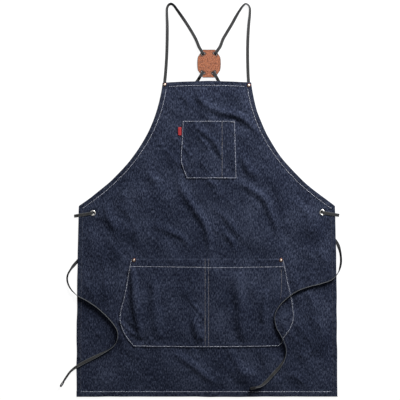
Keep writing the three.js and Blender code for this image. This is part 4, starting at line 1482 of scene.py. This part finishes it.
# Where a tape runs under the edge of the panel: x, y, reach and the least height left for it
PASSAGES = (
    (-112.0, 316, 8, 2.4), (111.0, 316, 8, 2.4), (34.5, 315, 9, 1.6), (-30, 315, 9, 1.6),
    (-346, -41.6, 9, 1.6), (-339, -157, 12, 1.6), (346, -39.6, 9, 1.6), (342, -107, 12, 1.6),
)


@dataclass
class Body:
    """The panel with its turned hems and their stitches."""

    finishes: Finishes
    hem_low: float = 0.2
    hem_high: float = 2.55
    hem_back: float = 1.2
    eyelet_hole: float = 6.1

    def make(self) -> None:
        """Builds the panel, the hems and the stitching."""
        sheet = Sheet(PANEL, HEM_RIM, GROUND.panel, columns=148, rows=218, wander=0.9, lifts=PASSAGES)
        made = sheet.mesh()
        for side in ("left", "right"):
            x, y, _ = middle_of(f"eyelet_{side}")
            open_round_hole(made, x, y, self.eyelet_hole)
        self.probe = Probe(made)
        panel = finished(
            "panel_cloth", made, self.finishes.denim, ["body_panel"], PANEL.edge_distance
        )
        thicken(panel, DENIM)
        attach(panel, "apron")
        hems = [self._hem(*parts) for parts in self._hem_lines()]
        seams = [self._seam(*parts) for parts in self._seam_lines()]

    @staticmethod
    def _hem_lines() -> list[tuple[str, Array, float]]:
        """Each hem's name, the edge that it follows and which side of that edge it is on."""
        lines = PANEL.outline()
        top, low = lines["high"], lines["low"]
        arm, side = ARMHOLE[2:-3], SIDE[2:-1]
        return [
            ("bib_top_hem", top[(np.abs(top[:, 0]) < 103)], -1),
            ("bottom_hem", low, 1),
            ("armhole_hem_right", arm, -1),
            ("armhole_hem_left", mirrored(arm), 1),
            ("side_hem_right", side, -1),
            ("side_hem_left", mirrored(side), 1),
        ]

    def _hem(self, name: str, edge: Array, sign: float) -> bpy.types.Object:
        """One folded hem under the panel's edge."""
        wide = BOTTOM_HEM_WIDE if name == "bottom_hem" else HEM_WIDE
        line = evenly(beside(edge, sign * (self.hem_back + wide) / 2), 4.0)
        low = np.full(len(line), self.hem_low)
        for x, y, reach, least in PASSAGES:
            away = np.hypot(line[:, 0] - x, line[:, 1] - y)
            low = np.maximum(low, (least - 0.05) * smoothstep(reach * 2.0, reach * 1.15, away))
        return folded_strip(
            f"{name}_fold", name, line, (low + self.hem_high) / 2, (wide - self.hem_back) / 2,
            (self.hem_high - low) / 2, self.finishes,
        )

    def _seam_lines(self) -> list[tuple[str, Array, bool]]:
        """Each row of stitches on the panel: its name, its line and whether it is a pale one."""
        inside = PANEL.outline(STITCH_IN_HEM)
        arm = beside(ARMHOLE, -STITCH_IN_HEM)
        arm = arm[(arm[:, 1] < 303) & (arm[:, 1] > -22)]
        return [
            ("bib_top", inside["high"][(np.abs(inside["high"][:, 0]) < 103)], True),
            ("armhole_right", arm, True),
            ("armhole_left", mirrored(arm), True),
            ("side_right", inside["right"][inside["right"][:, 1] < -24], False),
            ("side_left", inside["left"][inside["left"][:, 1] < -24], False),
            ("bottom", PANEL.outline(14.0)["low"], True),
        ]

    def _seam(self, name: str, line: Array, pale: bool) -> bpy.types.Object:
        """One row of stitches on the panel."""
        thread = self.finishes.thread if pale else self.finishes.dim_thread
        seam = finished(f"{name}_stitches", Seam(line, self.probe.at).mesh(), thread)
        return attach(seam, "apron")


@dataclass
class Pocket:
    """A patch pocket: its front, the hem folded behind its mouth and its turned edges."""

    name: str
    cut: Cut
    finishes: Finishes
    mouth_hem: float
    size: tuple[int, int]
    flat: tuple[float, float]
    area: float
    seams: dict[str, Array]
    fixed: Sequence[EdgeLine]

    def top(self, x: Array, y: Array, edge: Optional[Array] = None) -> Array:
        """The top of the pocket's front."""
        return GROUND.pocket(self.cut, x, y, edge)

    def make(self) -> None:
        """Builds the pocket and its stitches."""
        columns, rows = self.size
        sheet = Sheet(
            self.cut, POCKET_RIM, self.top, columns=columns, rows=rows, wander=0.35, seed=31, fixed=self.fixed
        )
        made = sheet.mesh()
        probe = Probe(made)
        front = finished(
            f"{self.name}_cloth", made, self.finishes.denim_pocket, [f"{self.name}_front"],
            self.cut.edge_distance,
        )
        thicken(front, DENIM)
        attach(front, "apron")
        pieces = [self._mouth_hem(), self._turned_edge()]
        for key, line in self.seams.items():
            made = Seam(line, probe.at).mesh()
            inner = key.startswith(("centre", "pen", "right"))
            thread = self.finishes.seam_thread if inner else self.finishes.thread
            seam = finished(f"{self.name}_{key}_stitches", made, thread)
            pieces.append(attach(seam, "apron"))

    def _under(self, x: Array, y: Array) -> Array:
        """The middle of the space between the panel and the pocket's front."""
        return (GROUND.panel(x, y) + self.top(x, y) - DENIM) / 2

    def _mouth_hem(self) -> bpy.types.Object:
        """The cloth folded down behind the mouth."""
        inside = self.cut.outline(self.mouth_hem / 2 + 0.8)["high"]
        line = inside[(inside[:, 0] > inside[0, 0] + 2) & (inside[:, 0] < inside[-1, 0] - 2)]
        return self._strip("mouth_hem", "hem", line, self.mouth_hem / 2 - 0.4, 0.24)

    def _turned_edge(self) -> bpy.types.Object:
        """The seam allowance turned under along the sides and the bottom."""
        inside = self.cut.outline(4.4)
        left, low, right = inside["left"][::-1], inside["low"], inside["right"]
        limit = self.cut.high - self.mouth_hem - 2
        left, right = left[left[:, 1] < limit], right[right[:, 1] < limit]
        line = np.vstack([left[:-1], low[1:-1], right[1:]])
        return self._strip("allowance", "turned_edge", line, 3.4, 0.36)

    def _strip(self, key: str, node: str, line: Array, half: float, thick: float) -> bpy.types.Object:
        """A closed strip between the panel and the front."""
        line = evenly(line, 3.0)
        return folded_strip(
            f"{self.name}_{key}", f"{self.name}_{node}", line, self._under(line[:, 0], line[:, 1]), half,
            np.full(len(line), thick), self.finishes,
        )


def crosswise(cut: Cut, below: float, inward: float) -> Array:
    """A line across a cut, a distance below its upper edge, that stops short of its sides."""
    y = np.array([cut.high - below])
    left, right = cut.side(cut.left, y, inward, 1)[0], cut.side(cut.right, y, inward, -1)[0]
    return np.column_stack([np.linspace(left, right, 30), np.full(30, y[0])])


def upright(*x: float) -> list[EdgeLine]:
    """Straight lines up the cloth at some places."""
    return [EdgeLine(np.array([(at, -600.0), (at, 0.0), (at, 600.0)])) for at in x]


def bib_pocket(finishes: Finishes) -> Pocket:
    """The bib pocket, with its narrow hem and its pen slot."""
    cut = BIB_POCKET
    inside = cut.outline(2.6)
    left = inside["left"][inside["left"][:, 1] < 209]
    right = inside["right"][inside["right"][:, 1] < 209]
    around = np.vstack([left[::-1], inside["low"][1:-1], right])
    mouth = crosswise(cut, 3.5, 3.6)
    pen_slot = np.array([(PEN_SLOT, 209), (PEN_SLOT, 130), (PEN_SLOT, 60)])
    tack = np.column_stack([np.linspace(66.5, 73.5, 8), np.full(8, 207.6)])
    seams = {"edge": around, "mouth": mouth, "pen_slot": pen_slot, "tack": tack}
    return Pocket(
        "bib_pocket", cut, finishes, mouth_hem=7.0, size=(64, 66), flat=(0.1626, 0.172), area=0.0268,
        seams=seams, fixed=upright(38.6, PEN_SLOT, 42.4),
    )


def waist_pocket(finishes: Finishes) -> Pocket:
    """The waist pocket, divided by two rows of stitches down its middle."""
    cut = WAIST_POCKET
    inside = cut.outline(2.9)
    around = np.vstack([inside["left"][::-1], inside["low"][1:-1], inside["right"]])
    mouth = crosswise(cut, 20.5, 3.4)
    mouth[:, 1] -= 2.6 * smoothstep(200, 0, np.abs(mouth[:, 0] - 40))
    seams = {"edge": around, "mouth": mouth}
    for key, x in zip(("centre_left", "centre_right"), CENTRE_SEAMS):
        seams[key] = np.array([(x, -158.5), (x, -270), (x, -391)])
    seams["right_stay"] = through([(198, -187), (199, -226), (196, -262)], 8)
    left, right = CENTRE_SEAMS
    return Pocket(
        "waist_pocket", cut, finishes, mouth_hem=WAIST_MOUTH_HEM, size=(132, 84), flat=(0.482, 0.266),
        area=0.1166, seams=seams, fixed=upright(-7.2, left, -2.2, 0, 2.2, right, 7),
    )


@dataclass
class SideTab:
    """A plain ribbon tab, folded double and caught in the pocket's seam."""

    finishes: Finishes
    layer: float = 0.34
    gap: float = 0.12

    def make(self) -> None:
        """Builds the tab and parents it to a body of its own."""
        low, high = (np.array(corner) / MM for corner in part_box("side_tab"))
        middle_z = (low[2] + high[2]) / 2 + 0.1
        half = self.layer / 2 + self.gap / 2
        turn = np.linspace(-np.pi / 2, np.pi / 2, 9)
        out = low[0] + half + self.layer / 2
        flat = np.linspace(high[0], out, 8)
        x = np.concatenate([flat, out - half * np.cos(turn[1:-1]), flat[::-1]])
        z = np.concatenate([np.full(8, -half), half * np.sin(turn[1:-1]), np.full(8, half)]) + middle_z
        centre = np.column_stack([x, np.full(len(x), (low[1] + high[1]) / 2), z])
        wide = np.tile((0.0, (high[1] - low[1]) / 2, 0.0), (len(x), 1))
        thin = np.cross(headings(centre), (0, 1, 0)) * self.layer / 2
        made = closed_band(centre, wide, thin, TAPE_SECTION)
        tab = finished("side_tab_ribbon", made, self.finishes.ribbon, ["side_tab"])
        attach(tab, "side_tab")


@dataclass
class Hardware:
    """The rivets and eyelets with their backs."""

    finishes: Finishes
    cap: float = 4.9
    cap_high: float = 1.5
    flange: float = 7.75
    hole: float = 4.7

    def make(self) -> None:
        """Builds four rivets with burrs, and two eyelets with washers."""
        for place in ("bib", "pocket"):
            for side in ("left", "right"):
                self._rivet(f"{place}_rivet_{side}")
        for side in ("left", "right"):
            self._eyelet(f"eyelet_{side}")

    def _rivet(self, node: str) -> None:
        """One rivet: a stepped cap with a raised middle, and the burr behind."""
        low, high = (np.array(corner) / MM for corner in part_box(node))
        seat = high[2] - self.cap_high
        middle = np.array([(low[0] + high[0]) / 2, (low[1] + high[1]) / 2, seat])
        r, foot = self.cap, low[2] - seat
        profile = [
            (0, foot), (1.3, foot), (1.6, foot + 0.3), (1.6, -0.05), (0.93 * r, -0.05), (0.99 * r, 0.1),
            (r, 0.35), (0.97 * r, 0.62), (0.88 * r, 0.82), (0.74 * r, 0.88), (0.68 * r, 0.8),
            (0.63 * r, 0.82), (0.56 * r, 1.12), (0.4 * r, 1.38), (0.2 * r, 1.48), (0, self.cap_high),
        ]
        away = away_from(middle)
        rivet = finished(
            f"{node}_cap", spun(profile, middle), self.finishes.copper, [node],
            lambda x, y: np.abs(away(x, y) - 0.68 * r) * 0.9,
        )
        mark(rivet, "radius", away)
        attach(rivet, "apron")
        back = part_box(f"{node}_burr")
        base = np.array([middle[0], middle[1], back[0].z / MM])
        high_back = (back[1].z - back[0].z) / MM
        ring = [
            (1.95, 0.1), (2.1, 0), (4.2, 0), (4.5, 0.2), (4.5, high_back - 0.15), (4.3, high_back),
            (2.2, high_back), (1.95, high_back - 0.1), (1.95, 0.1),
        ]
        burr = finished(
            f"{node}_back", spun(ring, base), self.finishes.copper, [f"{node}_burr"],
            lambda x, y: away(x, y) - 1.9,
        )
        mark(burr, "radius", uniform(9.0))
        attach(burr, "apron")

    def _eyelet(self, node: str) -> None:
        """One eyelet: a rolled flange with its barrel, and the washer behind."""
        low, high = (np.array(corner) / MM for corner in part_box(node))
        middle = np.array([(low[0] + high[0]) / 2, (low[1] + high[1]) / 2, high[2] - 0.6])
        foot, r, h = low[2] - middle[2], self.flange, self.hole
        profile = [
            (h, foot + 0.1), (h + 0.12, foot), (h + 0.35, foot + 0.1), (h + 0.35, 0.0), (r - 0.25, 0.0),
            (r, 0.2), (r - 0.1, 0.5), (r - 0.7, 0.8), (r - 1.5, 0.95), (r - 2.2, 0.9), (h + 0.5, 0.6),
            (h + 0.15, 0.25), (h, -0.2), (h, foot + 0.1),
        ]
        away = away_from(middle)
        ring = finished(
            f"{node}_ring", spun(profile, middle, 44), self.finishes.nickel, [node],
            lambda x, y: (away(x, y) - h) * 0.8,
        )
        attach(ring, "apron")
        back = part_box(f"{node}_washer")
        base = np.array([middle[0], middle[1], back[0].z / MM])
        inner, outer = self.hole + 0.65, r - 0.25
        profile = [
            (inner, 0.1), (inner + 0.2, 0), (outer - 0.3, 0), (outer, 0.2), (outer, 0.42), (outer - 0.2, 0.6),
            (inner + 0.2, 0.6), (inner, 0.5), (inner, 0.1),
        ]
        washer = finished(
            f"{node}_washer_ring", spun(profile, base, 44), self.finishes.nickel,
            [f"{node}_washer"], uniform(2.0),
        )
        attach(washer, "apron")


@dataclass
class Keeper:
    """The leather keeper with its four slots, and the tapes that cross behind it."""

    finishes: Finishes
    half: Point = (30.0, 37.25)
    flat: float = 16.5
    shoulder: float = 17.7
    bow: float = 1.5
    thick: float = 2.4
    slot: Point = (9.6, 3.2)
    # shrinks the distance to a slot, which widens the dark burnished band round it into painted shade
    slot_burnish_and_shade_spread: float = 0.45
    slots: dict[str, Point] = field(default_factory=lambda: {
        "upper_left": (-15.5, 25), "upper_right": (16.5, 25.5),
        "lower_left": (-16, -23.3), "lower_right": (12.3, -23.3),
    })

    def __post_init__(self) -> None:
        """Reads where the keeper is."""
        low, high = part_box("keeper")
        self.middle = np.array((low + high) / 2)[:2] / MM
        self.top = high.z / MM
        self.under = low.z / MM

    def heading(self, first: str, last: str) -> Array:
        """The direction from one slot to another."""
        way = np.array(self.slots[last]) - np.array(self.slots[first])
        return way / np.linalg.norm(way)

    def _half_at(self, y: Array) -> Array:
        """Half the keeper's width at many heights above its middle."""
        straight = np.interp(np.abs(y), (self.shoulder, self.half[1]), (self.half[0], self.flat))
        return straight + self.bow * np.clip(1 - (y / self.shoulder) ** 2, 0, 1)

    def _slot_axes(self) -> list[tuple[Array, Array, Array]]:
        """Each slot's middle, and the directions along its short and its long side."""
        pairs = (("upper_left", "lower_right"), ("upper_right", "lower_left"))
        made = []
        for first, last in pairs:
            way = self.heading(first, last)
            for key in (first, last):
                made.append((np.array(self.slots[key]), way, np.array([-way[1], way[0]])))
        return made

    def _edge_distance(self, x: Array, y: Array) -> Array:
        """How far places are from the keeper's outline or a slot; near a slot the distance is shrunk, so that
        the dark edge there also paints the slot's shade.
        """
        u, v = x - self.middle[0], y - self.middle[1]
        slope = (self.half[0] - self.flat) / (self.half[1] - self.shoulder)
        slanted = np.where(np.abs(v) > self.shoulder, math.hypot(1, slope), 1.0)
        inside = (self._half_at(v) - np.abs(u)) / slanted
        gap = np.minimum(inside, self.half[1] - np.abs(v))
        for middle, short, long in self._slot_axes():
            a = np.abs((u - middle[0]) * short[0] + (v - middle[1]) * short[1]) - self.slot[1] / 2
            b = np.abs((u - middle[0]) * long[0] + (v - middle[1]) * long[1]) - self.slot[0] / 2
            # near a slot the distance is scaled down, so the dark edge band there is wider: painted shade in
            # the slot on top of its burnished edge
            gap = np.minimum(gap, self.slot_burnish_and_shade_spread * np.hypot(np.maximum(a, 0), np.maximum(b, 0)))
        return np.maximum(gap, 0)

    def make(self) -> None:
        """Builds the leather and both crossing tapes, which all ride on the keeper."""
        leather = finished(
            "keeper_leather", self._leather(), self.finishes.leather, ["keeper"],
            self._edge_distance,
        )
        thicken(leather, self.thick, bevel=0.45)
        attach(leather, "keeper")
        for name, first, last, under in (
            ("lower", "upper_left", "lower_right", 0.05), ("upper", "upper_right", "lower_left", 1.55),
        ):
            tape = Tape(self._crossing(first, last, under), steps=4)
            node = f"keeper_crossing_{name}"
            piece = finished(f"{node}_tape", tape.mesh(), self.finishes.tape, [node])
            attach(piece, "keeper")

    def _leather(self) -> bmesh.types.BMesh:
        """The leather's upper surface, slightly dished, with its slots cut out."""
        columns, rows = 67, 81
        span = np.linspace(-1, 1, columns)
        ys = np.linspace(-self.half[1], self.half[1], rows)

        def place(column: Array, row: Array) -> Array:
            """Where the leather's points lie."""
            v = ys[row]
            u = span[column] * self._half_at(v)
            dish = 0.35 * (u / self.half[0]) ** 2 - 0.25 * np.cos(u / 13.0) * np.cos(v / 15.0)
            return np.column_stack([self.middle[0] + u, self.middle[1] + v, self.top + 0.15 * dish])

        made = wrapped_grid(columns, rows, place)
        for middle, short, long in self._slot_axes():
            at = self.middle + middle
            self._open_slot(made, at, short, long)
        return made

    def _open_slot(self, made: bmesh.types.BMesh, at: Array, short: Array, long: Array) -> None:
        """Cuts one straight slot by bisecting the surface along its four sides."""
        halves = ((short, self.slot[1] / 2), (long, self.slot[0] / 2))

        def near() -> list[bmesh.types.BMFace]:
            """The faces close to the slot."""
            reach = self.slot[0]
            centres = [(face, face.calc_center_median()) for face in made.faces]
            return [f for f, c in centres if abs(c.x - at[0]) < reach and abs(c.y - at[1]) < reach]

        for way, half in halves:
            for sign in (-1, 1):
                faces = near()
                geom = [*faces, *{e for f in faces for e in f.edges}, *{v for f in faces for v in f.verts}]
                spot = at + sign * half * way
                bmesh.ops.bisect_plane(
                    made, geom=geom, dist=1e-4, plane_co=(spot[0], spot[1], 0), plane_no=(way[0], way[1], 0)
                )
        inside = []
        for face in near():
            centre = face.calc_center_median()
            off = np.array([centre.x, centre.y]) - at
            if all(abs(off @ way) < half for way, half in halves):
                inside.append(face)
        bmesh.ops.delete(made, geom=inside, context="FACES")

    def _crossing(self, first: str, last: str, under: float) -> list[StopRow]:
        """A tape that dips through an upper slot, crosses behind the leather and comes up again."""
        way = self.heading(first, last)
        start = self.middle + np.array(self.slots[first])
        end = self.middle + np.array(self.slots[last])
        bend, stub, over = 1.8, 2.2, self.top + 0.3
        low_bend = 1.6

        def dip(slot: Array, sign: int) -> list[StopRow]:
            """The stops of a tape that goes down through a slot, or up where sign is -1."""
            steps = (
                (-stub, over), (-bend, over), (-0.3 * bend, over - 0.3 * bend), (0, over - bend),
                (0, under + low_bend), (0.3 * low_bend, under + 0.3 * low_bend), (low_bend, under),
            )
            rows = [(*((slot + sign * far * way) * MM), z * MM, 0.0) for far, z in steps]
            return rows if sign > 0 else rows[::-1]

        half = (start + end) / 2
        flat = [(*(spot * MM), under * MM, 0.0) for spot in (start + 6 * way, half, end - 6 * way)]
        return [*dip(start, 1), *flat, *dip(end, -1)]


@dataclass
class Harness:
    """The shoulder straps and the back straps."""

    finishes: Finishes

    def make(self) -> None:
        """Builds the four straps."""
        rows = (
            ("shoulder_strap_left", SHOULDER_LEFT, (-0.1000, 0.40), (-0.0210, 0.40)),
            ("shoulder_strap_right", SHOULDER_RIGHT, (0.1045, 0.40), (0.0355, 0.40)),
            ("back_strap_left", BACK_LEFT, (-0.0118, 0.200), (-0.0118, 0.326)),
            ("back_strap_right", BACK_RIGHT, (0.0191, 0.200), (0.0191, 0.324)),
        )
        for name, stops, start, end in rows:
            strap = finished(f"{name}_tape", Tape(stops).mesh(), self.finishes.tape, [name])
            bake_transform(strap)


def main() -> None:
    """Builds the apron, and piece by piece."""
    logging.basicConfig(level=logging.INFO, format="%(message)s")
    Studio().make()
    finishes = Finishes()
    Ties(finishes).make()
    Body(finishes).make()
    bib_pocket(finishes).make()
    waist_pocket(finishes).make()
    SideTab(finishes).make()
    Hardware(finishes).make()
    Keeper(finishes).make()
    Harness(finishes).make()
    bpy.context.view_layer.update()


if __name__ == "__main__":
    main()
